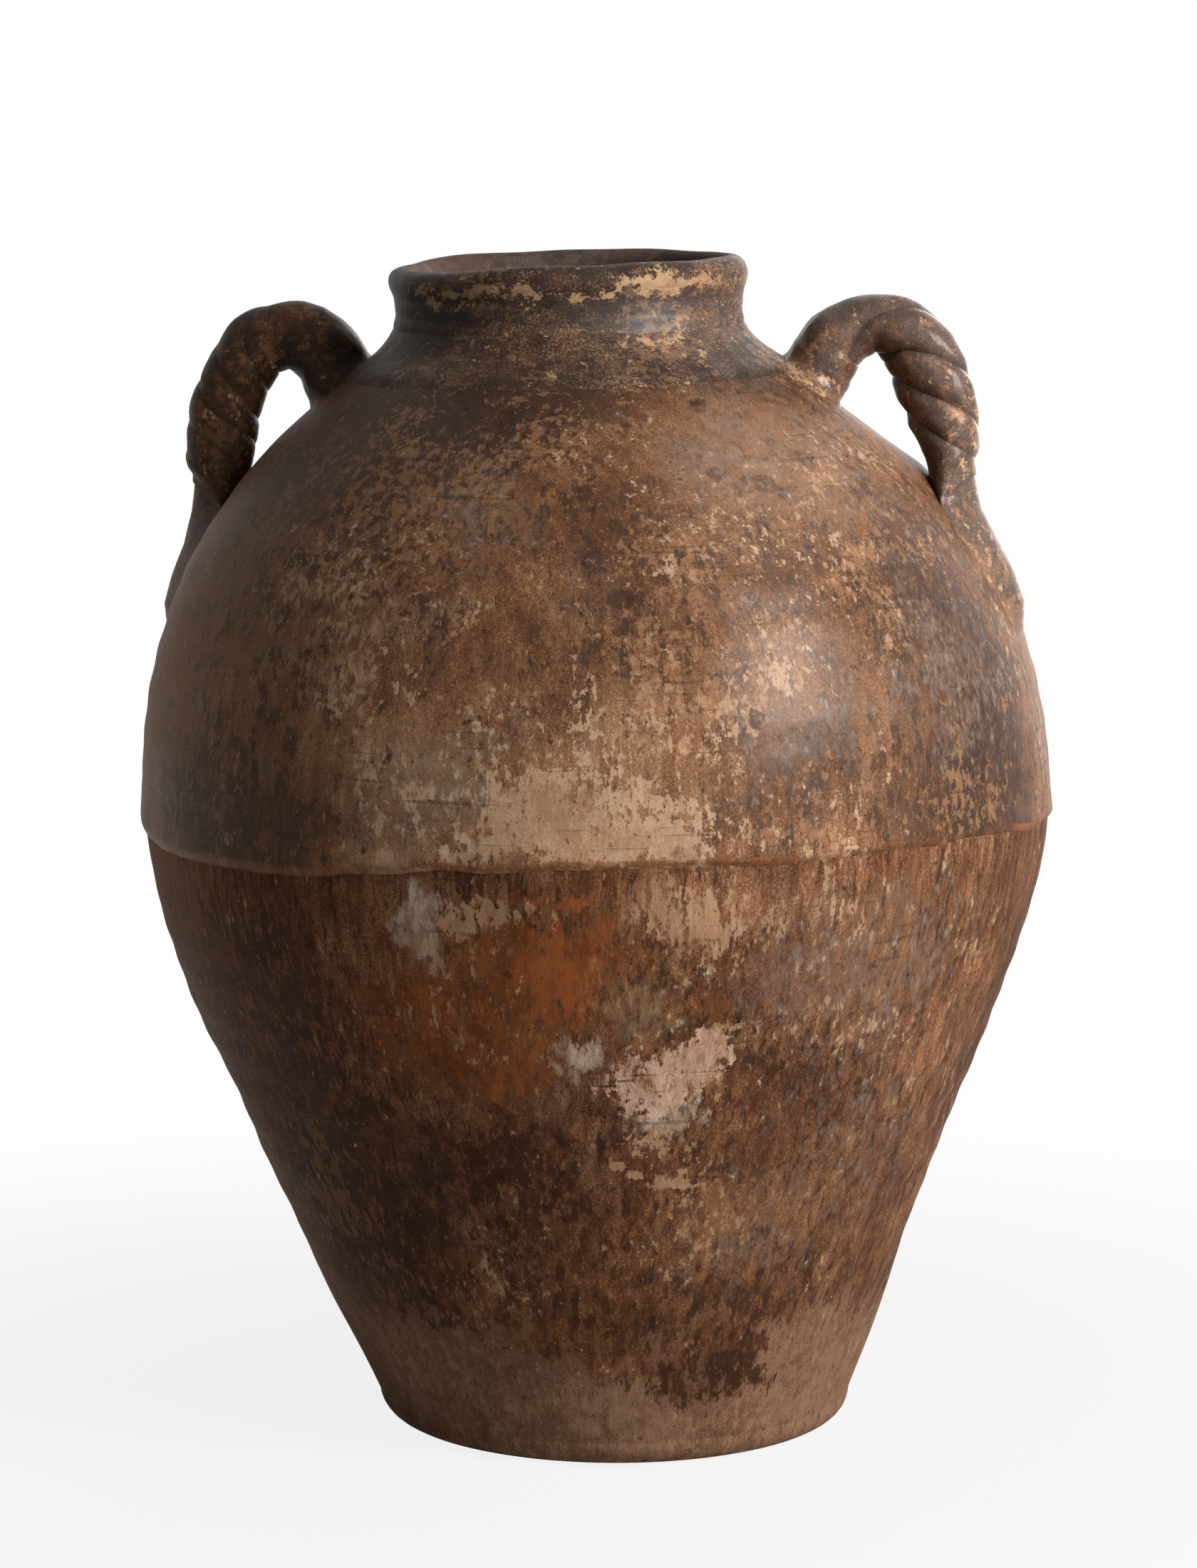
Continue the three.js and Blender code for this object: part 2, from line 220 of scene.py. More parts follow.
def curvePoints(curve):
    (lowRadius, lowHeight), (highRadius, highHeight) = curve["low"], curve["high"]
    lowRun = curve["lowHold"] * (highHeight - lowHeight)
    highRun = curve["highHold"] * (highHeight - lowHeight)
    return interpolate_bezier(
        Vector(curve["low"]),
        Vector((lowRadius + curve["lowSlope"] * lowRun, lowHeight + lowRun)),
        Vector((highRadius - curve["highSlope"] * highRun, highHeight - highRun)),
        Vector(curve["high"]),
        curveSteps,
    )


profile = curvePoints(lowCurve) + curvePoints(highCurve)[1:] + curvePoints(neckCurve)[1:]
profileHeights = [point.y for point in profile]


def radiusAt(height):
    spot = min(max(bisect_left(profileHeights, height), 1), len(profile) - 1)
    low, high = profile[spot - 1], profile[spot]
    return low.x + (high.x - low.x) * (height - low.y) / (high.y - low.y)


def slopeAt(height):
    return (radiusAt(height + slopeStep) - radiusAt(height - slopeStep)) / (2 * slopeStep)


def onWall(height, out):
    slope = slopeAt(height)
    reach = out / math.hypot(1, slope)
    return radiusAt(height) + reach, height - slope * reach


def aboveWall(point):
    return (point.xy.length - radiusAt(point.z)) / math.hypot(1, slopeAt(point.z))


def placeOn(turn, height):
    turn = math.radians(turn)
    return Vector((math.cos(turn) * radiusAt(height), math.sin(turn) * radiusAt(height), height))


def between(low, high, count):
    return [low + (high - low) * step / count for step in range(count + 1)]


def ramp(value, low, high):
    share = min(max((value - low) / (high - low), 0), 1)
    return share * share * (3 - 2 * share)


# A line through all its points: each stretch leaves and meets a point in the direction of its neighbours
def smoothLine(points, count):
    points = [Vector(point) for point in points]
    padded = [2 * points[0] - points[1]] + points + [2 * points[-1] - points[-2]]
    line = []
    for before, start, end, after in zip(padded, padded[1:], padded[2:], padded[3:]):
        leave, meet = start + (end - before) / 6, end - (after - start) / 6
        line += interpolate_bezier(start, leave, meet, end, count)[:-1]
    return line + [points[-1]]


# The jar slumped while it dried: foot and mouth lie off the belly's axis, level rings tip, and the walls sway
slump = {"footShift": 0.013, "footPower": 2.25, "mouthShift": -0.02, "mouthPower": 1.5,
         "mouthTilt": math.radians(1.6), "seamRise": 0.008, "risePower": 2, "pressPower": 6,
         "sway": 0.0028, "swayScale": 6.5, "fineSway": 0.4, "fineScale": 17, "coreRadius": 0.05}
# The belly seam was pressed up and down by hand: turn in degrees and lift
seamCourse = [
    (-180, 0), (-150, -0.002), (-136, -0.004), (-117, -0.003), (-108, 0), (-99, 0.004), (-87, 0.0065),
    (-67, 0.005), (-57, 0.006), (-43, 0.009), (-25, 0.009), (-10, 0.002), (20, 0), (180, 0)]
# Hands left dents: turn in degrees, height, reach and depth
handDents = [
    (10, 0.646, 0.065, -0.0165), (14, 0.692, 0.045, -0.0075), (172, 0.692, 0.035, 0.003),
    (-5, 0.722, 0.035, 0.0035), (190, 0.355, 0.05, -0.0014), (190, 0.265, 0.06, 0.0028),
    (188, 0.125, 0.06, -0.0045), (8, 0.235, 0.05, 0.001), (12, 0.185, 0.06, -0.0032),
    (8, 0.07, 0.07, 0.0042), (10, 0.545, 0.06, 0.002)]
dents = [(placeOn(turn, height), reach, depth) for turn, height, reach, depth in handDents]


def seamLift(x, y):
    turn = math.degrees(math.atan2(y, x))
    for (low, lowLift), (high, highLift) in zip(seamCourse, seamCourse[1:]):
        if turn <= high:
            return lowLift + (highLift - lowLift) * ramp(turn, low, high)
    return 0


def slumped(point, pressed=True):
    x, y, z = point
    below = max(0, 1 - z / joints["belly"])
    above = max(0, (z - joints["belly"]) / (joints["top"] - joints["belly"]))
    atSeam = (1 - below) * (1 - min(above, 1))
    shift = slump["footShift"] * below ** slump["footPower"]
    shift += slump["mouthShift"] * above ** slump["mouthPower"]
    tip = math.tan(slump["mouthTilt"]) * z / joints["top"] * x
    ripple = slump["seamRise"] * atSeam ** slump["risePower"] * -y / highCurve["low"][0]
    if pressed:
        ripple += seamLift(x, y) * atSeam ** slump["pressPower"]
    sway = noise.noise(point * slump["swayScale"])
    sway += slump["fineSway"] * noise.noise(point * slump["fineScale"])
    push = slump["sway"] * sway * min(1, max(0, z) / joints["foot"])
    for centre, size, depth in dents:
        gap = (point - centre).length / size
        if gap < 1:
            push += depth * (1 - gap * gap) ** 2
    push /= max(math.hypot(x, y), slump["coreRadius"])
    return Vector((x * (1 + push) + shift, y * (1 + push), z + tip + ripple))


def clearSelection():
    if bpy.context.object and bpy.context.object.mode != "OBJECT":
        bpy.ops.object.mode_set(mode="OBJECT")
    bpy.ops.object.select_all(action="DESELECT")


def applyModifier(piece, kind, **settings):
    modifier = piece.modifiers.new(kind.lower(), kind)
    for key, value in settings.items():
        setattr(modifier, key, value)
    bpy.ops.object.modifier_apply(modifier=modifier.name)


# A ring of clay is turned from a circle: each point of its outline is one more extruded and resized ring
ringSegments = 240
weldGap = 0.00002
smoothAngle = math.radians(50)
insideFacing = -0.02  # a face whose normal points this far towards the axis lies inside the jar


def turnRing(name, outline, filled=False):
    clearSelection()
    radius, height = outline[0]
    bpy.ops.mesh.primitive_circle_add(vertices=ringSegments, radius=radius, location=(0, 0, height),
                                      fill_type="NGON" if filled else "NOTHING")
    piece = bpy.context.active_object
    piece.name = piece.data.name = name
    bpy.ops.object.mode_set(mode="EDIT")
    bpy.ops.mesh.select_all(action="SELECT")
    for (radius, height), (nextRadius, nextHeight) in zip(outline, outline[1:]):
        grow = nextRadius / radius
        bpy.ops.mesh.extrude_region_move(TRANSFORM_OT_translate={"value": (0, 0, nextHeight - height)})
        bpy.ops.transform.resize(value=(grow, grow, 1), center_override=(0, 0, nextHeight))
    bpy.ops.mesh.select_all(action="SELECT")
    bpy.ops.mesh.remove_doubles(threshold=weldGap)
    bpy.ops.mesh.normals_make_consistent(inside=False)
    bpy.ops.object.mode_set(mode="OBJECT")
    bpy.ops.object.transform_apply(location=True, rotation=True, scale=True)
    return piece


def finishPiece(piece, node, material, inside=None):
    for vertex in piece.data.vertices:
        vertex.co = slumped(vertex.co)
    piece.data.update()
    clearSelection()
    piece.select_set(True)
    bpy.context.view_layer.objects.active = piece
    bpy.ops.object.shade_smooth_by_angle(angle=smoothAngle)
    piece.data.materials.append(material)
    if inside:
        piece.data.materials.append(inside)
        for face in piece.data.polygons:
            facing = face.normal.x * face.center.x + face.normal.y * face.center.y
            face.material_index = int(facing < insideFacing)
    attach(piece, "root")
    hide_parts(node)


# A screen colour as the linear colour that shaders take
def linear(level):
    return level / 12.92 if level <= 0.04045 else ((level + 0.055) / 1.055) ** 2.4


def tone(red, green, blue):
    return linear(red / 255), linear(green / 255), linear(blue / 255), 1


def cloud(place, scale, detail, rough, out=0):
    return place.node("ShaderNodeTexNoise", {},
                      {"Vector": place, "Scale": scale, "Detail": detail, "Roughness": rough}, out)


def blend(factor, under, over):
    return factor.node("ShaderNodeMix", {"data_type": "RGBA"}, {0: factor, 6: under, 7: over}, out=2)


def axis(place, number):
    return place.node("ShaderNodeSeparateXYZ", {}, {0: place}, out=number)


def attribute(place, name):
    return place.node("ShaderNodeAttribute", {"attribute_name": name}, {}, out=2)


def shades(value, tones):
    stops = [(level, tone(*colour)) for level, colour in tones]
    return value.node("ShaderNodeValToRGB", {"stops": stops}, {0: value})


# Patterns of the clay: scale, detail, roughness and a step that keeps them apart. Where the scale is 1, the
# look gives its own, level and upright.
clayPatterns = {
    "broad": (9, 5, 0.6, None), "mottle": (1, 9, 0.78, None), "worn": (1, 9, 0.74, (4, 2, 6)),
    "peel": (1, 9, 0.74, (9, 5, 1)), "grain": (700, 3, 0.9, None), "streak": (1, 7, 0.74, None),
    "clump": (15, 4, 0.6, (7, 2, 1)), "ochre": (15, 8, 0.72, (3, 1, 2)), "grey": (18, 9, 0.74, (1, 5, 4)),
    "fleck": (1, 7, 0.72, (2, 6, 5)), "line": (1, 4, 0.7, None), "pits": (130, 4, 0.6, None),
}
# Noise that makes the ends of stains ragged: scale, and how far it pulls a point
wideRagged, fineRagged = (24, 0.075), (90, 0.012)
raggedDetail, raggedRough = 8, 0.72
noiseMiddle = 0.5
# A stain ends some half widths out and is full near its middle, and a crater is a ring that is hollow inside.
# All but the depth and the end are shares of the way in from the end.
stainShape = {"depth": 0.06, "end": 1.5, "full": 0.9333, "ringFull": 0.4, "hollowFull": 0.8}
craterHollow = 0.4


def pattern(place, kind, look):
    scale, detail, rough, step = clayPatterns[kind]
    if f"{kind}Along" in look:
        level, upright = look[f"{kind}Along"]
        place = vectorMaths("MULTIPLY", {0: place, 1: (level, level, upright)})
    if step:
        place = vectorMaths("ADD", {0: place, 1: step})
    return cloud(place, scale, detail, rough)


def ragged(place, scale, reach):
    pull = cloud(place, scale, raggedDetail, raggedRough, out=1)
    pull = vectorMaths("SUBTRACT", {0: pull, 1: (noiseMiddle, noiseMiddle, noiseMiddle)})
    pull = vectorMaths("SCALE", {0: pull, "Scale": reach})
    return vectorMaths("ADD", {0: place, 1: pull})


# A stain is a turn in degrees, a height, a half width, a half height and a weight
def spot(place, stain, hollow):
    turn, height, wide, tall, weight = stain
    local = place.node("ShaderNodeMapping", {"vector_type": "TEXTURE"},
                       {"Vector": place, "Location": slumped(placeOn(turn, height), False),
                        "Rotation": (0, 0, math.radians(turn)),
                        "Scale": Vector((stainShape["depth"] + wide, wide, tall)) * stainShape["end"]})
    near = place.node("ShaderNodeTexGradient", {"gradient_type": "SPHERICAL"}, {"Vector": local}, out="Fac")
    if hollow:
        ring = fade(near, 0, stainShape["ringFull"], 0, weight)
        return ring - fade(near, stainShape["ringFull"], stainShape["hollowFull"], 0, weight * hollow)
    return fade(near, 0, stainShape["full"], 0, weight)


def spots(place, stains, hollow=0):
    return sum(spot(place, stain, hollow) for stain in stains or [])


# Stains laid over the clay: darkest and lightest tones, how softly they end and how ragged their ends are
overlays = {
    # Grey overlay: the clay's grey film, and on the lit right side a painted sheen
    "haze": {"low": (106, 88, 77), "high": (168, 145, 129), "soft": 0.6, "ragged": 0.9, "cover": 0.5},
    "rust": {"low": (88, 47, 24), "high": (168, 96, 52), "soft": 0.45, "ragged": 0.8, "cover": 0.75},
    "olive": {"low": (102, 86, 66), "high": (162, 139, 110), "soft": 0.5, "ragged": 0.8, "cover": 0.65},
    "bloom": {"low": (142, 121, 102), "high": (204, 183, 160), "soft": 0.4, "ragged": 0.8, "cover": 0.86},
    "pink": {"low": (178, 140, 119), "high": (224, 188, 166), "soft": 0.14, "ragged": 1.1, "cover": 0.9},
}
# Tones of what lies on every clay, pairs first on thin and then on thick film, or first dark and then pale
clayTones = {
    "ochre": (tone(166, 114, 73), tone(100, 63, 39)), "grey": (tone(140, 118, 104), tone(76, 64, 58)),
    "dust": (tone(101, 73, 56), tone(157, 122, 98)), "edge": (tone(88, 50, 28), tone(166, 102, 58)),
    # The groove tone is painted shade for the creases of the handles
    "bare": tone(170, 131, 101), "line": tone(62, 45, 36), "groove": tone(40, 30, 25),
    "pit": tone(46, 34, 28),
}
# Where each of them starts and is full, on its own pattern, on the film's depth or on height
clayRanges = {
    "film": (0.3, 0.7), "ochre": (0.46, 0.62), "grey": (0.5, 0.64), "line": (0.62, 0.67),
    "pits": (0.645, 0.7), "top": (0.63, 0.675), "dust": (0.092, 0.078), "groove": (0.3, 0.95),
    "edge": (0.25, 0.55), "side": (-0.2, 0.1),
}
filmEdge, fleckEdge = 0.06, 0.02  # how softly the film and the flecks end
# How much of each pattern goes into what lies on the clay, and then into the tints, the relief and the shine
clayMixes = {
    "flake": {"streak": 0.4, "clump": 0.5}, "stain": {"peel": 2.6, "streak": 0.7},
    "fleck": {"clump": 0.5, "broad": -0.1}, "bare": {"clump": 0.9, "streak": -0.3},
    "line": {"clump": 0.35, "grain": 0.1}, "dust": {"streak": 0.12, "mottle": 0.05, "peel": 0.2},
    "groove": {"mottle": 0.8}, "edge": {"worn": 6, "broad": 5},
    "darkTint": {"mottle": 1, "grain": 0.5},
    "stainTint": {"mottle": 1, "streak": 0.6, "grain": 0.5, "broad": 0.5, "worn": 0.8},
    "bareTint": {"mottle": 1, "grain": 0.5, "broad": 0.5},
    "dustTint": {"mottle": 0.6, "grain": 1, "peel": 1, "broad": 0.4},
    "edgeTint": {"mottle": 1, "grain": 0.5, "broad": 1},
    "relief": {"mottle": 0.5, "grain": 0.5, "streak": 0.3, "worn": 1, "peel": -1},
    "rough": {"grain": 0.3}, "shine": {"worn": 2, "streak": 2},
}
tintSpread = {"darkTint": 0.1, "stainTint": 0.2, "bareTint": 0.12, "dustTint": 0.2, "edgeTint": 0.12}
edgeRust = {"least": 0.6, "atLeft": 0.4}
pitCover = 0.6
relief = {"depth": 0.0016, "pits": 0.5, "lines": 0.3}
rougher = {"thin": 0.08, "thick": -0.05, "veil": 0.14, "bare": 0.1}
coatRough = {"burnished": 0.4, "handled": 0.16}
bareDulls = 0.2


def stir(patterns, mix):
    return sum(patterns[kind] * share for kind, share in clayMixes[mix].items())


def tinted(patterns, mix, low, high):
    return blend(fade(stir(patterns, mix), -tintSpread[mix], tintSpread[mix]), low, high)


# Aged clay: mottled clay with a worn dark film, stains laid over it, and pale clay where the film has gone
def paintClay(name, look):
    material = bpy.data.materials.new(name)
    material.use_nodes = True
    tree = material.node_tree
    tree.nodes.clear()
    place = Sock(tree).node("ShaderNodeTexCoord", {}, {}, out="Object")
    height = axis(place, 2)
    patterns = {kind: pattern(place, kind, look) - noiseMiddle
                for kind in ("broad", "mottle", "worn", "peel", "grain", "streak", "clump")}
    drift = ragged(place, *wideRagged)
    fine = ragged(place, *fineRagged)

    # The film's depth gives the ground colour, with soft mottling, streaks and sand
    depth = patterns["broad"] * look["broad"] + look["film"]
    depth = depth + spots(drift, look.get("films")) + spots(fine, look.get("craters"), craterHollow)
    if look.get("top"):
        depth = depth + fade(height, *clayRanges["top"], 0, look["top"])
    if look.get("near"):
        depth = depth + attribute(place, "near") * look["near"]
    level = depth + sum(patterns[kind] * look[kind] for kind in ("streak", "mottle", "grain"))
    thick = fade(level, *clayRanges["film"])
    colour = shades(level, look["tones"])
    for kind in ("ochre", "grey"):
        patch = fade(pattern(place, kind, look), *clayRanges[kind], 0, look[kind])
        colour = blend(patch, colour, blend(thick, *clayTones[kind]))

    # Crisp remains of the dark film
    flake = patterns["worn"] * look["worn"] + depth + stir(patterns, "flake")
    flake = flake + spots(drift, look.get("flakes"))
    dark = fade(flake, look["dark"], look["dark"] + filmEdge, 0, look["cover"])
    colour = blend(dark, colour, tinted(patterns, "darkTint", look["darkTone"], look["softTone"]))

    # Stains, some of them grey painted sheen on the lit right side
    veil = 0
    for kind, stain in overlays.items():
        if look.get(kind):
            reach = spots(drift, look[kind]) + stir(patterns, "stain") * stain["ragged"]
            mask = fade(reach, (1 - stain["soft"]) / 2, (1 + stain["soft"]) / 2, 0, stain["cover"])
            tint = tinted(patterns, "stainTint", tone(*stain["low"]), tone(*stain["high"]))
            colour = blend(mask, colour, tint)
            veil = mask if kind == "bloom" else veil

    # Tan flecks, pale clay where the film has peeled, and scratches and cracks
    fleck = pattern(place, "fleck", look) + stir(patterns, "fleck")
    fleck = fleck + spots(drift, look.get("tans")) + spots(fine, look.get("runs"))
    flecks = fade(fleck, look["fleck"], look["fleck"] + fleckEdge, 0, look["fleckCover"])
    colour = blend(flecks, colour, look["fleckTone"])
    bare = patterns["peel"] * look["peel"] - depth + stir(patterns, "bare")
    bare = bare + spots(drift, look.get("cream")) + spots(fine, look.get("chips"))
    light = fade(bare, look["bare"], look["bare"] + filmEdge, 0, look["paleCover"])
    colour = blend(light, colour, tinted(patterns, "bareTint", clayTones["bare"], look["paleTone"]))
    scratch = pattern(place, "line", look) + stir(patterns, "line")
    scratch = fade(scratch, *clayRanges["line"], 0, look["lines"])
    lines = scratch
    if look.get("cracks"):
        lines = lines.maths("MAXIMUM", lines, spots(place, look["cracks"]))
    colour = blend(lines, colour, clayTones["line"])

    # Dust at the foot, painted shade in the handles' grooves, rust under the belly strip, and pits
    if look.get("dust"):
        rise = height + spots(drift, look["drips"]) + stir(patterns, "dust")
        dust = fade(rise, *clayRanges["dust"], 0, look["dust"])
        colour = blend(dust, colour, tinted(patterns, "dustTint", *clayTones["dust"]))
        veil = dust + veil
    # Painted shade: the handles' grooves are darkened towards the groove tone
    if look.get("groove"):
        grooveShade = attribute(place, "groove") + stir(patterns, "groove")
        grooveShade = fade(grooveShade, *clayRanges["groove"], 0, look["groove"])
        colour = blend(grooveShade, colour, clayTones["groove"])
    if look.get("edge"):
        rust = attribute(place, "edge") * (stir(patterns, "edge") + edgeRust["least"])
        rust = fade(rust, *clayRanges["edge"], 0, look["edge"])
        rust = rust * fade(axis(place, 0), *clayRanges["side"], edgeRust["atLeft"], 1)
        colour = blend(rust, colour, tinted(patterns, "edgeTint", *clayTones["edge"]))
    pits = fade(pattern(place, "pits", look), *clayRanges["pits"], 0, pitCover)
    colour = blend(pits, colour, clayTones["pit"])

    # Thick film shines a little, and what lies over it is matt
    thin, thickest = look["rough"] + rougher["thin"], look["rough"] + rougher["thick"]
    rough = fade(level, *clayRanges["film"], thin, thickest) + stir(patterns, "rough")
    rough = rough + rougher["veil"] * veil + rougher["bare"] * light
    raised = stir(patterns, "relief") - pits * relief["pits"] - scratch * relief["lines"]
    bump = place.node("ShaderNodeBump", {},
                      {"Strength": look["bump"], "Distance": relief["depth"], "Height": raised})
    sockets = {"Base Color": colour, "Roughness": rough, "Normal": bump, "Specular IOR Level": look["gloss"]}
    if look.get("polish"):
        shine = spots(drift, look["polish"]) * (stir(patterns, "shine") + 1) - light * bareDulls
        sockets["Coat Weight"] = fade(shine, 0, 1, 0, look["shine"])
        sockets["Coat Roughness"] = coatRough["burnished"]
    if look.get("coat"):
        sockets["Coat Weight"] = look["coat"]
        sockets["Coat Roughness"] = coatRough["handled"]
    finish = place.node("ShaderNodeBsdfPrincipled", {}, sockets)
    finish.node("ShaderNodeOutputMaterial", {}, {"Surface": finish})
    return material


# Looks of the clays: tones from bare clay to thick film, the film, its dark remains, the pale clay under it,
# flecks and scratches, and the gloss. The lists place single stains.
wallTones = [
    (0.14, (206, 171, 139)), (0.3, (177, 137, 105)), (0.44, (144, 104, 75)), (0.58, (110, 76, 53)),
    (0.74, (77, 54, 41)), (0.9, (48, 34, 27))]
lowTones = [
    (0.14, (204, 168, 136)), (0.3, (170, 130, 99)), (0.44, (134, 95, 70)), (0.58, (103, 67, 46)),
    (0.74, (72, 46, 33)), (0.9, (45, 29, 21))]
upperLook = {
    "tones": wallTones, "film": 0.52, "broad": 0.62, "mottle": 0.36, "mottleAlong": (26, 20), "streak": 0.6,
    "streakAlong": (110, 11), "grain": 0.9, "ochre": 0.36, "grey": 0.5, "top": 0.11,
    "worn": 2.4, "wornAlong": (120, 60), "dark": 0.67, "cover": 0.74, "darkTone": tone(48, 34, 28),
    "softTone": tone(78, 57, 45),
    "peel": 2.4, "peelAlong": (180, 110), "bare": -0.31, "paleCover": 0.78, "paleTone": tone(210, 176, 145),
    "fleck": 0.58, "fleckAlong": (170, 140), "fleckCover": 0.6, "fleckTone": tone(157, 117, 85),
    "lines": 0.45, "lineAlong": (13, 420),
    "rough": 0.48, "bump": 0.55, "gloss": 0.06, "shine": 0.42,
    "films": [
        (-86, 0.44, 0.12, 0.06, -0.16), (-55, 0.436, 0.06, 0.045, 0.08), (-108, 0.397, 0.028, 0.01, -0.16),
        (-42, 0.622, 0.1, 0.045, -0.1), (-78, 0.535, 0.08, 0.045, 0.14), (-132, 0.49, 0.1, 0.11, -0.07),
        (-142, 0.412, 0.11, 0.035, 0.09), (-106, 0.45, 0.05, 0.06, -0.08), (-122, 0.64, 0.11, 0.05, 0.16),
        (-33, 0.549, 0.07, 0.06, 0.07), (-22, 0.5, 0.08, 0.1, 0.16), (-28, 0.42, 0.08, 0.05, 0.22),
        (-79, 0.598, 0.045, 0.035, 0.14), (-95, 0.66, 0.08, 0.02, 0.18), (-102, 0.585, 0.05, 0.04, 0.08),
        (-49, 0.604, 0.022, 0.0035, 0.24), (-44, 0.625, 0.03, 0.003, 0.2), (-95, 0.626, 0.016, 0.004, 0.2),
        (-30, 0.606, 0.03, 0.006, 0.16)],
    "craters": [
        (-57, 0.618, 0.004, 0.003, 0.16), (-42, 0.633, 0.004, 0.0025, 0.16),
        (-53, 0.656, 0.005, 0.003, 0.16), (-37, 0.623, 0.005, 0.004, 0.18), (-80, 0.61, 0.004, 0.003, 0.16),
        (-76, 0.551, 0.005, 0.005, 0.16), (-61, 0.479, 0.004, 0.004, 0.24),
        (-70, 0.465, 0.004, 0.004, -0.16), (-96, 0.48, 0.0025, 0.0015, 0.3)],
    "flakes": [(-132, 0.5, 0.12, 0.13, 0.2), (-116, 0.6, 0.09, 0.06, 0.1), (-35, 0.47, 0.08, 0.06, 0.06)],
    # Grey stains on the lit right side, from -30 to -58 degrees, are painted sheen; those near -100 degrees
    # are the clay's grey film
    "haze": [
        (-40, 0.62, 0.11, 0.05, 0.65), (-98, 0.6, 0.05, 0.05, 0.5), (-30, 0.49, 0.08, 0.08, 0.5),
        (-58, 0.47, 0.07, 0.06, 0.4), (-102, 0.445, 0.08, 0.04, 0.65)],
    "rust": [(-87, 0.52, 0.05, 0.022, 0.3), (-70, 0.47, 0.03, 0.02, 0.3), (-90, 0.62, 0.04, 0.02, 0.3)],
    "olive": [(-98, 0.45, 0.065, 0.034, 0.5), (-112, 0.46, 0.03, 0.02, 0.35)],
    "bloom": [(-97, 0.412, 0.05, 0.016, 0.45), (-96, 0.49, 0.012, 0.014, 0.3)],
    "tans": [(-118, 0.56, 0.1, 0.08, 0.06), (-133, 0.47, 0.1, 0.1, 0.02), (-108, 0.62, 0.07, 0.05, 0.05)],
    "cream": [
        (-85, 0.404, 0.08, 0.018, 0.34), (-92, 0.43, 0.05, 0.025, 0.16), (-77, 0.424, 0.045, 0.026, 0.24),
        (-86, 0.44, 0.04, 0.02, 0.14), (-82, 0.506, 0.008, 0.016, 0.24), (-83, 0.474, 0.006, 0.015, 0.24),
        (-73, 0.508, 0.012, 0.016, 0.2), (-63, 0.483, 0.026, 0.018, 0.14), (-57, 0.43, 0.06, 0.028, 0.06),
        (-81, 0.56, 0.022, 0.016, 0.16), (-94, 0.543, 0.02, 0.012, 0.2), (-72, 0.614, 0.02, 0.012, 0.16),
        (-48, 0.57, 0.05, 0.05, 0.1), (-104, 0.504, 0.02, 0.02, 0.16), (-56, 0.498, 0.04, 0.04, 0.1),
        (-113, 0.55, 0.07, 0.06, 0.16), (-114, 0.648, 0.03, 0.02, 0.14)],
    "polish": [
        (-57, 0.51, 0.05, 0.1, 1.0), (-50, 0.6, 0.09, 0.04, 0.6), (-25, 0.56, 0.1, 0.08, 0.3),
        (-38, 0.46, 0.07, 0.08, 0.3)],
}
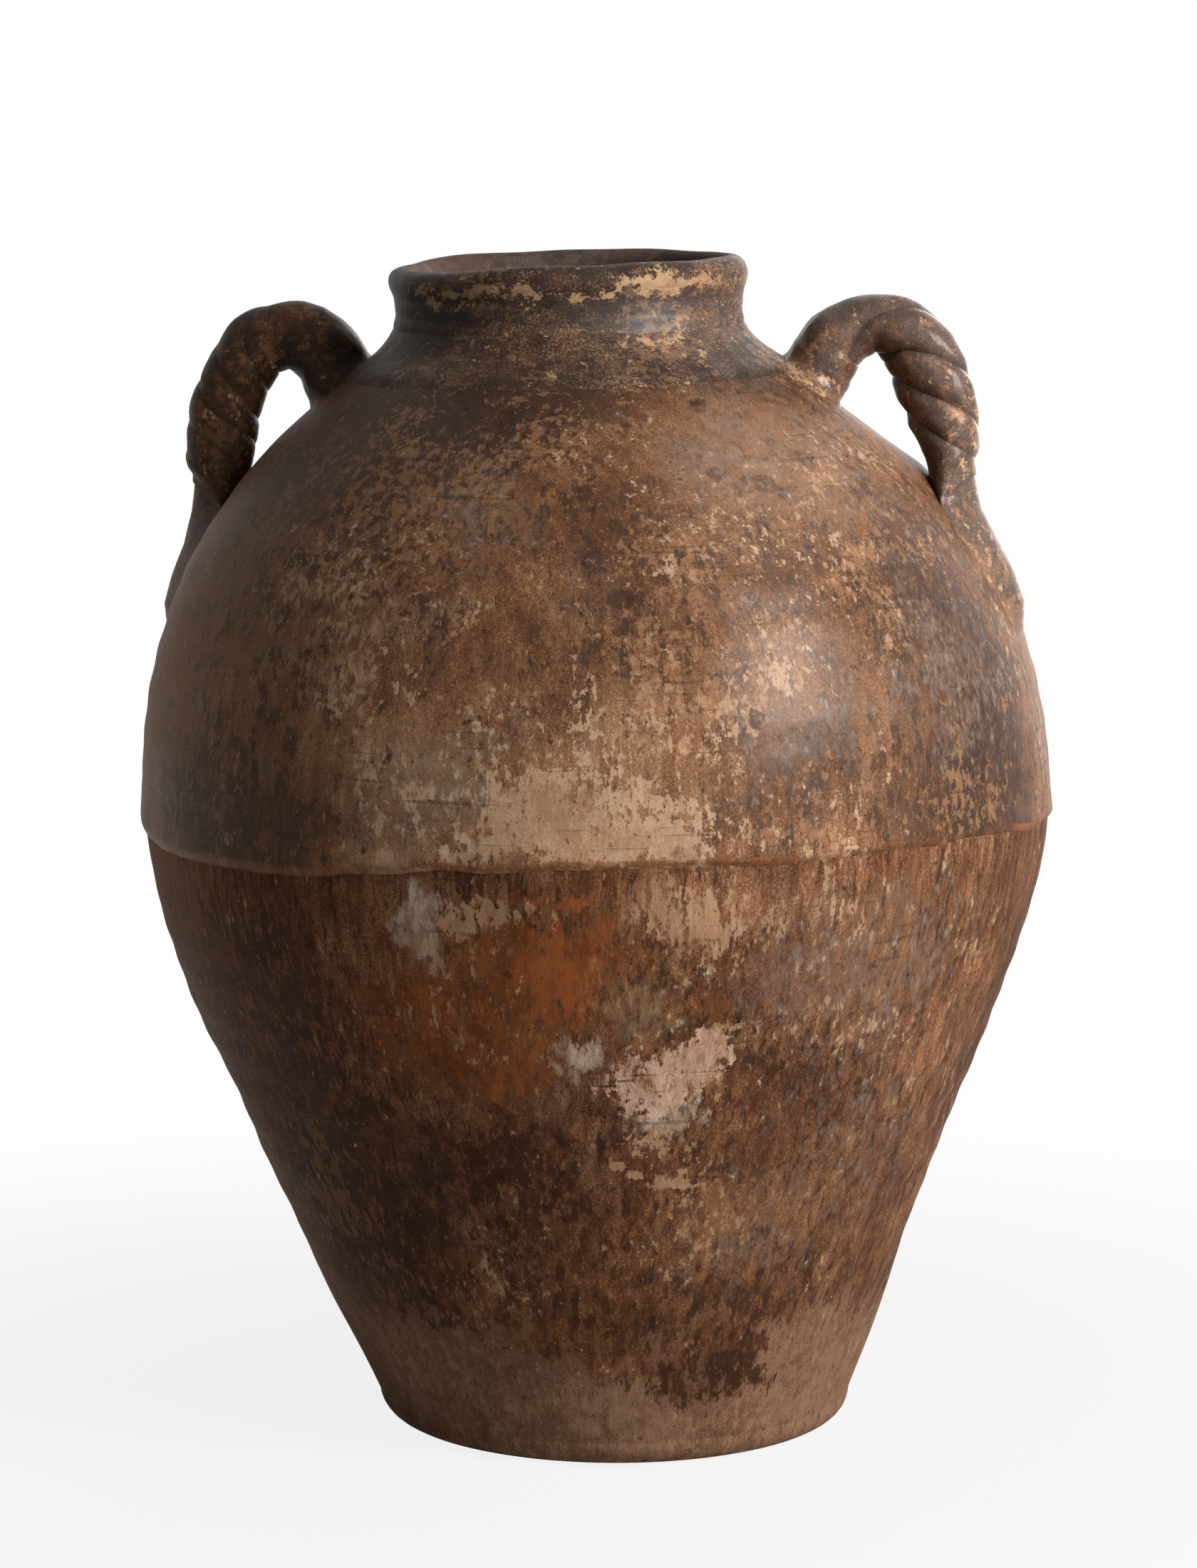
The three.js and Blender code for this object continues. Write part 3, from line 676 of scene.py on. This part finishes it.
lowerLook = {
    "tones": lowTones, "film": 0.58, "broad": 0.5, "mottle": 0.45, "mottleAlong": (36, 18), "streak": 0.95,
    "streakAlong": (120, 7), "grain": 1.0, "ochre": 0.5, "grey": 0.25,
    "worn": 2.4, "wornAlong": (140, 30), "dark": 0.69, "cover": 0.7, "darkTone": tone(42, 27, 19),
    "softTone": tone(70, 46, 34),
    "peel": 2.4, "peelAlong": (170, 70), "bare": -0.33, "paleCover": 0.7, "paleTone": tone(204, 168, 134),
    "fleck": 0.58, "fleckAlong": (200, 50), "fleckCover": 0.52, "fleckTone": tone(146, 103, 71),
    "lines": 0.4, "lineAlong": (14, 300),
    "rough": 0.6, "bump": 0.55, "gloss": 0.03, "dust": 0.8,
    # The film stain at -130 degrees and height 0.17 is painted shade on the lower left, which is turned from
    # the light
    "films": [
        (-72, 0.367, 0.06, 0.02, -0.08), (-57, 0.359, 0.05, 0.022, -0.04), (-60, 0.15, 0.04, 0.04, -0.04),
        (-50, 0.21, 0.07, 0.08, 0.05), (-33, 0.19, 0.07, 0.09, -0.05), (-132, 0.29, 0.09, 0.11, 0.04),
        (-136, 0.368, 0.1, 0.028, -0.09), (-130, 0.17, 0.09, 0.09, 0.2), (-100, 0.215, 0.05, 0.04, 0.1),
        (-51, 0.092, 0.05, 0.022, 0.05), (-80, 0.11, 0.08, 0.02, 0.06), (-66, 0.225, 0.04, 0.02, 0.02)],
    "flakes": [(-135, 0.3, 0.1, 0.1, 0.16), (-126, 0.17, 0.08, 0.08, 0.06), (-50, 0.17, 0.06, 0.07, 0.1)],
    # These grey stains on the lit right side are painted sheen
    "haze": [(-45, 0.33, 0.12, 0.06, 0.6), (-40, 0.2, 0.1, 0.1, 0.4), (-62, 0.15, 0.06, 0.05, 0.3)],
    "rust": [
        (-98, 0.315, 0.075, 0.06, 0.7), (-90, 0.265, 0.045, 0.026, 0.6), (-106, 0.28, 0.05, 0.045, 0.5),
        (-86, 0.374, 0.03, 0.006, 0.6), (-66, 0.309, 0.018, 0.01, 0.6), (-82, 0.335, 0.05, 0.04, 0.55)],
    "olive": [(-76, 0.306, 0.046, 0.036, 0.55)],
    "bloom": [
        (-103, 0.36, 0.024, 0.028, 0.85), (-83, 0.275, 0.026, 0.018, 0.75), (-68, 0.332, 0.006, 0.007, 0.7),
        (-72, 0.236, 0.03, 0.018, 0.65), (-66, 0.262, 0.012, 0.016, 0.55)],
    "pink": [(-74, 0.258, 0.04, 0.026, 0.75), (-67, 0.276, 0.018, 0.022, 0.65)],
    "tans": [(-132, 0.31, 0.1, 0.1, 0.03), (-124, 0.17, 0.08, 0.09, 0.03)],
    "runs": [
        (-63, 0.156, 0.003, 0.034, 0.22), (-60.5, 0.17, 0.003, 0.026, 0.2),
        (-71.5, 0.172, 0.0025, 0.026, 0.16), (-62.5, 0.1785, 0.009, 0.003, 0.22)],
    "cream": [
        (-93, 0.363, 0.024, 0.01, 0.34), (-98, 0.353, 0.016, 0.008, 0.3), (-71, 0.363, 0.034, 0.012, 0.2),
        (-66, 0.352, 0.02, 0.016, 0.12), (-57, 0.345, 0.04, 0.024, 0.05), (-65, 0.297, 0.01, 0.006, 0.4),
        (-75, 0.215, 0.04, 0.02, 0.1), (-70, 0.18, 0.05, 0.05, 0.1), (-60, 0.33, 0.06, 0.04, 0.08),
        (-105, 0.13, 0.05, 0.04, 0.12), (-66, 0.332, 0.03, 0.02, 0.06)],
    "chips": [
        (-78.5, 0.2075, 0.008, 0.0028, 0.45), (-75.5, 0.2005, 0.008, 0.0028, 0.45),
        (-71, 0.195, 0.012, 0.0032, 0.45), (-67, 0.193, 0.008, 0.0025, 0.4)],
    "cracks": [
        (-80.5, 0.2595, 0.011, 0.0008, 0.8), (-77.5, 0.2625, 0.009, 0.0008, 0.8),
        (-75, 0.266, 0.008, 0.0008, 0.7)],
    "drips": [
        (-58, 0.06, 0.05, 0.03, 0.05), (-83, 0.08, 0.03, 0.03, 0.03), (-35, 0.08, 0.04, 0.03, -0.03),
        (-118, 0.08, 0.03, 0.03, -0.02)],
}
footLook = dict(lowerLook, film=0.54, films=[(-51, 0.062, 0.055, 0.022, 0.2)], dust=0.85, rough=0.66)
for kind in (*overlays, "cream", "cracks", "tans", "runs", "chips", "flakes"):
    footLook.pop(kind)
neckLook = {
    "tones": [
        (0.14, (208, 176, 134)), (0.3, (166, 126, 90)), (0.44, (116, 90, 71)), (0.58, (84, 67, 58)),
        (0.74, (61, 50, 45)), (0.9, (40, 33, 31))],
    "film": 0.6, "broad": 0.6, "mottle": 1.0, "mottleAlong": (30, 60), "streak": 0.5,
    "streakAlong": (9, 110), "grain": 1.9, "ochre": 0.2, "grey": 0.5,
    "worn": 2.4, "wornAlong": (90, 130), "dark": 0.66, "cover": 0.75, "darkTone": tone(42, 34, 32),
    "softTone": tone(66, 53, 48),
    "peel": 2.6, "peelAlong": (120, 160), "bare": -0.33, "paleCover": 0.8, "paleTone": tone(206, 172, 132),
    "fleck": 0.58, "fleckAlong": (120, 170), "fleckCover": 0.6, "fleckTone": tone(136, 106, 82),
    "lines": 0.5, "lineAlong": (9, 330),
    "rough": 0.46, "bump": 0.55, "gloss": 0.05, "shine": 0.45,
    "films": [
        (-45, 0.69, 0.04, 0.008, -0.04), (-57, 0.71, 0.04, 0.012, 0.16), (-150, 0.71, 0.07, 0.03, 0.2),
        (-92, 0.705, 0.04, 0.012, -0.08)],
    "cream": [
        (-138, 0.7215, 0.03, 0.004, 0.36), (-116, 0.725, 0.045, 0.005, 0.5),
        (-90, 0.7255, 0.032, 0.004, 0.26), (-93, 0.724, 0.008, 0.009, 0.36), (-61, 0.727, 0.04, 0.006, 0.48),
        (-40, 0.7285, 0.03, 0.005, 0.28), (-29, 0.7315, 0.014, 0.005, 0.4), (-146, 0.722, 0.012, 0.01, 0.16),
        (-119, 0.7145, 0.02, 0.003, 0.4), (-72, 0.704, 0.01, 0.008, 0.26), (-90, 0.701, 0.01, 0.006, 0.26)],
    "polish": [(-57, 0.706, 0.05, 0.02, 1.0), (-40, 0.7, 0.04, 0.03, 0.8)],
}
handleLook = {
    "tones": [
        (0.14, (204, 164, 118)), (0.3, (166, 122, 82)), (0.44, (124, 90, 62)), (0.58, (88, 65, 50)),
        (0.74, (60, 46, 38)), (0.9, (38, 30, 26))],
    "film": 0.57, "broad": 0.5, "mottle": 0.8, "mottleAlong": (48, 48), "streak": 0.3,
    "streakAlong": (60, 30), "grain": 1.1, "ochre": 0.6, "grey": 0, "near": -0.06,
    "worn": 2.8, "wornAlong": (100, 100), "dark": 0.64, "cover": 0.7, "darkTone": tone(42, 29, 22),
    "softTone": tone(68, 47, 35),
    "peel": 2.8, "peelAlong": (130, 130), "bare": -0.34, "paleCover": 0.8, "paleTone": tone(204, 164, 120),
    "fleck": 0.575, "fleckAlong": (140, 140), "fleckCover": 0.75, "fleckTone": tone(146, 102, 66),
    "lines": 0, "lineAlong": (9, 330),
    # The groove weight darkens the handle's creases with painted shade
    "rough": 0.36, "bump": 0.5, "gloss": 0.3, "coat": 0.3, "groove": 0.6,
}
# The left handle is a darker copy of the right one: its thicker film and darker flecks are partly painted
# shade of the side turned from the light
leftHandleShadedLook = dict(handleLook, film=0.68, gloss=0.06, rough=0.42, fleckTone=tone(118, 83, 57), groove=0.35,
                      coat=0, films=[(180, 0.56, 0.05, 0.06, -0.14)])
# The inside's dark grey tones are the clay's own colour darkened with painted shade of the jar's hollow
insideShadedLook = {
    "tones": [(0.2, (108, 92, 82)), (0.5, (78, 67, 62)), (0.8, (52, 45, 43))],
    "film": 0.5, "broad": 0.6, "mottle": 0.6, "mottleAlong": (40, 40), "streak": 0.5, "streakAlong": (9, 80),
    "grain": 0.6, "ochre": 0.2, "grey": 0.5,
    "worn": 2.0, "wornAlong": (50, 50), "dark": 0.66, "cover": 0.5, "darkTone": tone(50, 41, 37),
    "softTone": tone(70, 58, 52),
    "peel": 2.0, "peelAlong": (60, 60), "bare": -0.2, "paleCover": 0.4, "paleTone": tone(120, 102, 90),
    "fleck": 0.6, "fleckAlong": (90, 120), "fleckCover": 0.5, "fleckTone": tone(120, 98, 84), "lines": 0.4,
    "lineAlong": (9, 240),
    "rough": 0.7, "bump": 0.4, "gloss": 0.1,
}
upperClay = paintClay("upperClay", upperLook)
lowerClay = paintClay("lowerClay", lowerLook)
footClay = paintClay("footClay", footLook)
neckClay = paintClay("neckClay", neckLook)
rightHandleClay = paintClay("rightHandleClay", handleLook)
leftHandleShadedClay = paintClay("leftHandleShadedClay", leftHandleShadedLook)
insideShadedClay = paintClay("insideShadedClay", insideShadedLook)
bellySeamClay = paintClay("bellySeamClay", dict(upperLook, edge=0.6))
neckSeamClay = paintClay("neckSeamClay", neckLook)
print("clays mixed")

# Floor slab with a rounded edge
floorSlab = {"edge": 0.015, "inner": 0.1, "hub": 0.04, "flat": 0.004, "edgeSteps": 8}


def makeFloor(slab):
    outer = lowCurve["low"][0] - slab["edge"]
    outline = [(slab["hub"], 0), (slab["inner"], 0), (outer - slab["flat"], 0)]
    for turn in between(0, math.pi / 2, slab["edgeSteps"]):
        outline.append((outer + slab["edge"] * math.sin(turn), joints["floor"] * (1 - math.cos(turn))))
    outline += [(slab["inner"], joints["floor"]), (slab["hub"], joints["floor"])]
    piece = turnRing("floorSlab", outline, filled=True)
    finishPiece(piece, "floor_disc", footClay)


makeFloor(floorSlab)

# Walls, with faint throwing ridges outside. The inside has a third as many rows.
wallThickness = 0.014
footWall = {"name": "footWall", "span": (joints["floor"], joints["foot"]), "rows": 14,
            "thickness": wallThickness, "ridge": 0, "ridges": 1, "node": "foot_section",
            "slot": "dusty_foot", "clay": footClay}
lowerWall = {"name": "lowerWall", "span": (joints["foot"], joints["belly"]), "rows": 66,
             "thickness": wallThickness, "ridge": 0.0004, "ridges": 13, "node": "lower_body",
             "slot": "stained_wall", "clay": lowerClay}
upperWall = {"name": "upperWall", "span": (joints["belly"], joints["neck"]), "rows": 66,
             "thickness": wallThickness, "ridge": 0.0004, "ridges": 11, "node": "upper_body",
             "slot": "stained_wall", "clay": upperClay}
neckWall = {"name": "neckWall", "span": (joints["neck"], joints["rim"]), "rows": 24,
            "thickness": 0.013, "ridge": 0.0004, "ridges": 3.5, "node": "neck_collar",
            "slot": "dark_neck", "clay": neckClay}


def makeWall(wall):
    low, high = wall["span"]
    outside = [(radiusAt(height), height) for height in between(low, high, wall["rows"])]
    inside = [(radiusAt(height) - wall["thickness"] * math.hypot(1, slopeAt(height)), height)
              for height in between(high, low, wall["rows"] // 3)]
    piece = turnRing(wall["name"], outside + inside + outside[:1])
    for vertex in piece.data.vertices:
        reach = vertex.co.xy.length
        if reach > radiusAt(vertex.co.z) - wall["thickness"] / 2:
            rise = (vertex.co.z - low) / (high - low)
            ridge = wall["ridge"] * math.sin(math.pi * rise) * math.sin(2 * math.pi * wall["ridges"] * rise)
            vertex.co.x, vertex.co.y = vertex.co.xy * (1 + ridge / reach)
    finishPiece(piece, wall["node"], wall["clay"], insideShadedClay)


for wall in (footWall, lowerWall, upperWall, neckWall):
    makeWall(wall)
print("walls turned")

# The rolled lip swells softly from the neck, sits a little aside and droops towards the left
lip = {"outline": [(0.1085, 0.716), (0.10865, 0.718), (0.1092, 0.7205), (0.1104, 0.724), (0.1113, 0.7272),
                   (0.1116, 0.7305), (0.1109, 0.7342), (0.1088, 0.7374), (0.1055, 0.7393), (0.1015, 0.74),
                   (0.0975, 0.7388), (0.0945, 0.7355), (0.0932, 0.7305), (0.0936, 0.7245), (0.0948, 0.7195),
                   (0.0955, 0.716)],
       "steps": 4, "wave": 0.0016, "waveScale": 22, "swellScale": 30, "swellFrom": Vector((3, 7, 0)),
       "shift": 0.0018, "droop": 0.0034, "droopTurn": math.radians(205)}


def makeLip(roll):
    outline = [tuple(point) for point in smoothLine(roll["outline"], roll["steps"])]
    piece = turnRing("rolledLip", outline + outline[:1])
    for vertex in piece.data.vertices:
        lift = max(0, vertex.co.z - joints["rim"]) / (joints["top"] - joints["rim"])
        turn = math.atan2(vertex.co.y, vertex.co.x) - roll["droopTurn"]
        swell = roll["wave"] * lift * noise.noise(vertex.co * roll["swellScale"] + roll["swellFrom"])
        vertex.co.x, vertex.co.y = vertex.co.xy * (1 + swell / vertex.co.xy.length)
        wave = roll["wave"] * noise.noise(vertex.co * roll["waveScale"])
        vertex.co.z += lift * (wave - roll["droop"] * max(0, math.cos(turn)) ** 2)
        vertex.co.x += roll["shift"] * lift
    finishPiece(piece, "rolled_rim", neckClay, insideShadedClay)


makeLip(lip)

# Strips over the joints: distance out from the wall against height above the joint
bellyStrip = {"name": "bellyStrip", "joint": joints["belly"], "node": "belly_band", "slot": "rust_band",
              "section": [(-0.001, 0.034), (0.0001, 0.027), (0.0006, 0.02), (0.0013, 0.012), (0.0023, 0.005),
                          (0.0029, 0.001), (0.0027, -0.0008), (0.0017, -0.0024), (0.0002, -0.0042),
                          (-0.0015, -0.0062), (-0.006, -0.006), (-0.006, 0.026)],
              "clay": bellySeamClay, "wander": 0.0035, "pinch": 0.45, "slack": 1.0}
neckStrip = {"name": "neckStrip", "joint": joints["neck"], "node": "neck_band", "slot": "dark_neck",
             "section": [(-0.0012, 0.026), (0.0001, 0.02), (0.0006, 0.013), (0.0012, 0.005), (0.0019, -0.001),
                         (0.0021, -0.004), (0.0016, -0.006), (0.0004, -0.0085), (-0.0012, -0.012),
                         (-0.006, -0.006), (-0.006, 0.014)],
             "clay": neckSeamClay, "wander": 0.001, "pinch": 0.4, "slack": 0}
# Hands pinched the strips thick and thin and let them wander, and rust gathers on the lower edge
stripHands = {"pinchScale": 4.3, "finePinch": 0.6, "finePinchScale": 13,
              "wanderScale": 2.6, "wanderFrom": Vector((5, 0, 0)), "fineWander": 0.4, "fineWanderScale": 9,
              "edgeTop": (0.0008, -0.0004), "edgeFoot": (-0.0046, -0.003)}


def makeStrip(strip, hands):
    outline = [onWall(strip["joint"] + rise, out) for out, rise in strip["section"]]
    piece = turnRing(strip["name"], outline + outline[:1])
    applyModifier(piece, "SUBSURF", levels=1, render_levels=1)
    edge = piece.data.attributes.new("edge", "FLOAT", "POINT")
    for vertex in piece.data.vertices:
        around = Vector((vertex.co.x, vertex.co.y, 0)).normalized()
        reach = math.hypot(vertex.co.x, vertex.co.y)
        wall = radiusAt(vertex.co.z)
        rise = vertex.co.z - strip["joint"]
        edge.data[vertex.index].value = ramp(rise, *hands["edgeTop"]) * ramp(rise, *hands["edgeFoot"])
        finePinch = hands["finePinch"] * noise.noise(around * hands["finePinchScale"])
        squeeze = 1 + strip["pinch"] * (noise.noise(around * hands["pinchScale"]) + finePinch)
        if reach > wall:
            vertex.co.x, vertex.co.y = around.xy * (wall + (reach - wall) * squeeze)
        wander = noise.noise(around * hands["wanderScale"] + hands["wanderFrom"])
        wander += hands["fineWander"] * noise.noise(around * hands["fineWanderScale"])
        vertex.co.z += strip["wander"] * wander
        vertex.co.z += strip["slack"] * min(0, rise) * max(0, -around.x) ** 2  # softer at the left
    finishPiece(piece, strip["node"], strip["clay"])


makeStrip(bellyStrip, stripHands)
makeStrip(neckStrip, stripHands)

# Coils pressed into the corners inside. The belly's is depth from the inner wall and height above the joint.
bellyCoil = {"name": "bellyCoil", "node": "belly_inner_coil", "slot": "bare_inside",
             "outline": [onWall(joints["belly"] + rise, -wallThickness - depth) for depth, rise in
                         [(-0.002, -0.021), (0.0008, -0.021), (0.004, -0.01), (0.005, 0), (0.004, 0.01),
                          (0.0008, 0.021), (-0.002, 0.021)]]}
floorCoil = {"name": "floorCoil", "node": "floor_inner_coil", "slot": "bare_inside",
             "outline": [(0.138, 0.0165), (0.1215, 0.0165), (0.1235, 0.0225), (0.1285, 0.029),
                         (0.1345, 0.034), (0.1445, 0.0345)]}


def makeCoil(coil):
    piece = turnRing(coil["name"], coil["outline"] + coil["outline"][:1])
    applyModifier(piece, "SUBSURF", levels=1, render_levels=1)
    finishPiece(piece, coil["node"], insideShadedClay)


makeCoil(bellyCoil)
makeCoil(floorCoil)
print("lip, strips and coils turned")

# A handle is a bar of three clay rolls. Its centreline is radius and height, and its section is given by the
# distance along the bar: half thickness away from the jar and towards it, and half width. Where the bar is a
# tongue smeared down the wall, the tail gives wall height, rise above the wall and half width instead.
tongueRise = 0.004
handleEnd = [onWall(height, tongueRise) for height in (0.573, 0.556, 0.538, 0.52, 0.505, 0.495)]
rightHandle = {
    "side": "right", "mirror": 1, "clay": rightHandleClay,
    "turns": 1.3, "twistPower": 1.5, "phase": math.radians(10), "groove": 0.13,
    "line": [
        (0.1364, 0.6484), (0.1525, 0.6625), (0.161, 0.6745), (0.169, 0.6862), (0.1905, 0.696),
        (0.2115, 0.6892), (0.222, 0.6745), (0.228, 0.657), (0.2318, 0.6355), (0.233, 0.618),
        (0.2365, 0.6)] + handleEnd,
    "section": [
        (0, 0.022, 0.029, 0.03), (0.014, 0.022, 0.028, 0.029), (0.022, 0.022, 0.027, 0.0275),
        (0.03, 0.0222, 0.026, 0.025), (0.036, 0.0225, 0.0245, 0.024), (0.05, 0.0222, 0.023, 0.0225),
        (0.064, 0.0195, 0.02, 0.021), (0.076, 0.0186, 0.019, 0.0205), (0.095, 0.0212, 0.022, 0.022),
        (0.113, 0.0222, 0.0235, 0.0225), (0.132, 0.0228, 0.024, 0.0225), (0.154, 0.0216, 0.0225, 0.022),
        (0.172, 0.0187, 0.019, 0.0225), (0.181, 0.0168, 0.0168, 0.0235), (0.305, 0.0168, 0.0168, 0.0235)],
    "tail": [
        (0.172, 0.611, 0.029, 0.024), (0.181, 0.603, 0.0275, 0.026), (0.196, 0.59, 0.0235, 0.031),
        (0.216, 0.573, 0.0155, 0.036), (0.236, 0.556, 0.0135, 0.037), (0.257, 0.538, 0.0135, 0.035),
        (0.278, 0.52, 0.0115, 0.029), (0.29, 0.51, 0.006, 0.021), (0.304, 0.498, 0, 0.01)],
}
leftHandle = {
    "side": "left", "mirror": -1, "clay": leftHandleShadedClay,
    "turns": 1.9, "twistPower": 1.3, "phase": math.radians(-20), "groove": 0.06,
    "line": [
        (0.138, 0.648), (0.1505, 0.668), (0.1575, 0.681), (0.168, 0.69), (0.183, 0.695), (0.2035, 0.6868),
        (0.2148, 0.6725), (0.222, 0.6588), (0.228, 0.645), (0.2305, 0.6315), (0.2325, 0.6195),
        (0.2365, 0.602)] + handleEnd,
    "section": [
        (0, 0.023, 0.027, 0.03), (0.014, 0.023, 0.026, 0.029), (0.0236, 0.0235, 0.0245, 0.0275),
        (0.032, 0.0238, 0.0235, 0.025), (0.0393, 0.0238, 0.0235, 0.024), (0.053, 0.0238, 0.0238, 0.0225),
        (0.067, 0.0215, 0.0212, 0.0205), (0.09, 0.0225, 0.0218, 0.0205), (0.109, 0.022, 0.0218, 0.0205),
        (0.124, 0.0215, 0.0215, 0.0205), (0.139, 0.023, 0.0228, 0.0215), (0.153, 0.0224, 0.0226, 0.022),
        (0.165, 0.0212, 0.0214, 0.0225), (0.183, 0.019, 0.019, 0.024), (0.305, 0.019, 0.019, 0.024)],
    "tail": [
        (0.172, 0.613, 0.031, 0.024), (0.181, 0.605, 0.03, 0.026), (0.198, 0.59, 0.027, 0.031),
        (0.218, 0.573, 0.018, 0.036), (0.238, 0.556, 0.013, 0.037), (0.258, 0.538, 0.012, 0.035),
        (0.279, 0.52, 0.01, 0.029), (0.291, 0.51, 0.005, 0.021), (0.304, 0.498, 0, 0.01)],
}
# What both bars share. Lengths run along the bar, and groove, fillet, knead and tail shape its surface.
bar = {
    "rootEnd": 0.042, "tailStart": 0.181, "end": 0.304,
    "step": 0.002, "curveSteps": 24, "ahead": 3, "behind": 4, "segments": 72, "strands": 3,
    "grooveStart": 0.03, "grooveFull": 0.06, "grooveFade": 0.15, "grooveEnd": 0.205, "groovePower": 1.5,
    "fillet": 0.009, "filletEnd": 0.052, "filletCore": 0.1, "filletSides": 0.75,
    "knead": 0.05, "kneadScale": 45, "kneadStep": 9, "fineKnead": 0.5, "fineScale": 110,
    "smearStart": 0.172, "smearEnd": 0.212, "tailPower": 1.5, "tailHollow": 0.003, "tailSink": 0.001,
    "nearWall": 0.014,
}


def alongHandle(distance, handle):
    curve, lengths = handle["curve"], handle["lengths"]
    spot = min(max(bisect_left(lengths, distance), 1), len(curve) - 1)
    part = (distance - lengths[spot - 1]) / (lengths[spot] - lengths[spot - 1])
    ahead = curve[min(spot + bar["ahead"], len(curve) - 1)] - curve[max(spot - bar["behind"], 0)]
    return curve[spot - 1].lerp(curve[spot], part), ahead.normalized()


def sizesAt(distance, rows):
    for (low, *lowSizes), (high, *highSizes) in zip(rows, rows[1:]):
        if distance <= high:
            break
    part = ramp(distance, low, high)
    return [start + (end - start) * part for start, end in zip(lowSizes, highSizes)]


def grooveDepth(distance, turn):
    depth = ramp(distance, bar["grooveStart"], bar["grooveFull"])
    depth *= 1 - ramp(distance, bar["grooveFade"], bar["grooveEnd"])
    return depth * (1 - abs(math.cos(turn * bar["strands"] / 2))) ** bar["groovePower"]


def onTail(distance, reach, turn, handle):
    height, rise, spread = sizesAt(distance, handle["tail"])
    side = reach * math.sin(turn)
    flat = 1 - side * side
    rise = rise * flat ** bar["tailPower"] if math.cos(turn) < 0 else -bar["tailHollow"] * flat
    radius, height = onWall(height, rise * reach - bar["tailSink"])
    slide = side * spread / radius
    return Vector((radius * math.cos(slide), radius * math.sin(slide), height))


# A point of a straight bar of radius 1 goes to its place on the twisted, bent and kneaded one
def bendClay(point, handle):
    distance = point.z
    reach, turn = math.hypot(point.x, point.y), math.atan2(point.y, point.x)
    depth = grooveDepth(distance, turn)
    reach *= 1 - handle["groove"] * depth
    twist = (distance - bar["rootEnd"]) / (bar["tailStart"] - bar["rootEnd"])
    turn += handle["phase"] - 2 * math.pi * handle["turns"] * max(0, twist) ** handle["twistPower"]
    outer, inner, width = sizesAt(distance, handle["section"])
    inward = reach * math.cos(turn)
    inward *= inner if inward > 0 else outer
    across = reach * math.sin(turn) * width
    centre, ahead = alongHandle(distance, handle)
    place = Vector((centre.x + ahead.y * inward, across, centre.y - ahead.x * inward))
    core = Vector((centre.x, 0, centre.y))
    kneadFrom = Vector((handle["mirror"] * bar["kneadStep"], 0, 0))
    knead = noise.noise(place * bar["kneadScale"] + kneadFrom)
    knead += bar["fineKnead"] * noise.noise(place * bar["fineScale"])
    place += (place - core) * bar["knead"] * knead
    if distance < bar["filletEnd"] and reach > bar["filletCore"]:
        gap = min(1, max(0, 1 - aboveWall(place) / bar["fillet"]))
        spread = bar["fillet"] * (1 - math.sqrt(1 - gap * gap))
        place += (place - core).normalized() * spread * (1 - bar["filletSides"] * abs(math.cos(turn)))
    smear = ramp(distance, bar["smearStart"], bar["smearEnd"])
    if smear > 0:
        place = place.lerp(onTail(distance, reach, turn, handle), smear)
    near = 1 - ramp(aboveWall(place), 0, bar["nearWall"])
    return Vector((place.x * handle["mirror"], place.y * handle["mirror"], place.z)), depth, near


# One piece of the bar: a disc, or one strand's share of it, extruded step by step along the bar's length
def rollClay(name, low, high, strand, handle):
    clearSelection()
    bpy.ops.mesh.primitive_circle_add(
        vertices=bar["segments"], radius=1, location=(0, 0, low), fill_type="NGON")
    piece = bpy.context.active_object
    piece.name = piece.data.name = name
    bpy.ops.object.transform_apply(location=True, rotation=True, scale=True)
    bpy.ops.object.mode_set(mode="EDIT")
    if strand is not None:
        for edge in (-1, 1):
            turn = 2 * math.pi / bar["strands"] * (strand + edge / 2)
            bpy.ops.mesh.select_all(action="SELECT")
            bpy.ops.mesh.bisect(plane_co=(0, 0, low), clear_outer=edge > 0, clear_inner=edge < 0,
                                plane_no=(-math.sin(turn), math.cos(turn), 0))
    bpy.ops.mesh.select_all(action="SELECT")
    count = max(1, round((high - low) / bar["step"]))
    for step in range(count):
        bpy.ops.mesh.extrude_region_move(TRANSFORM_OT_translate={"value": (0, 0, (high - low) / count)})
    bpy.ops.mesh.select_all(action="SELECT")
    bpy.ops.mesh.normals_make_consistent(inside=False)
    bpy.ops.object.mode_set(mode="OBJECT")
    for layer in ("groove", "near"):
        piece.data.attributes.new(layer, "FLOAT", "POINT")
    for vertex in piece.data.vertices:
        vertex.co, groove, near = bendClay(vertex.co, handle)
        piece.data.attributes["groove"].data[vertex.index].value = groove
        piece.data.attributes["near"].data[vertex.index].value = near
    return piece


def makeHandle(handle):
    side = handle["side"]
    handle["curve"] = smoothLine(handle["line"], bar["curveSteps"])
    handle["lengths"] = [0]
    for start, end in zip(handle["curve"], handle["curve"][1:]):
        handle["lengths"].append(handle["lengths"][-1] + (end - start).length)
    spans = [("upper_root", 0, bar["rootEnd"], None)]
    for strand in range(bar["strands"]):
        spans.append((f"strand_{strand + 1}", bar["rootEnd"], bar["tailStart"], strand))
    spans.append(("lower_tail", bar["tailStart"], bar["end"], None))
    for part, low, high, strand in spans:
        piece = rollClay(f"{side}_{part}_clay", low, high, strand, handle)
        finishPiece(piece, f"{side}_handle_{part}", handle["clay"])
    print(side, "handle is", round(handle["lengths"][-1], 4), "long")


makeHandle(rightHandle)
makeHandle(leftHandle)
print("handles rolled")
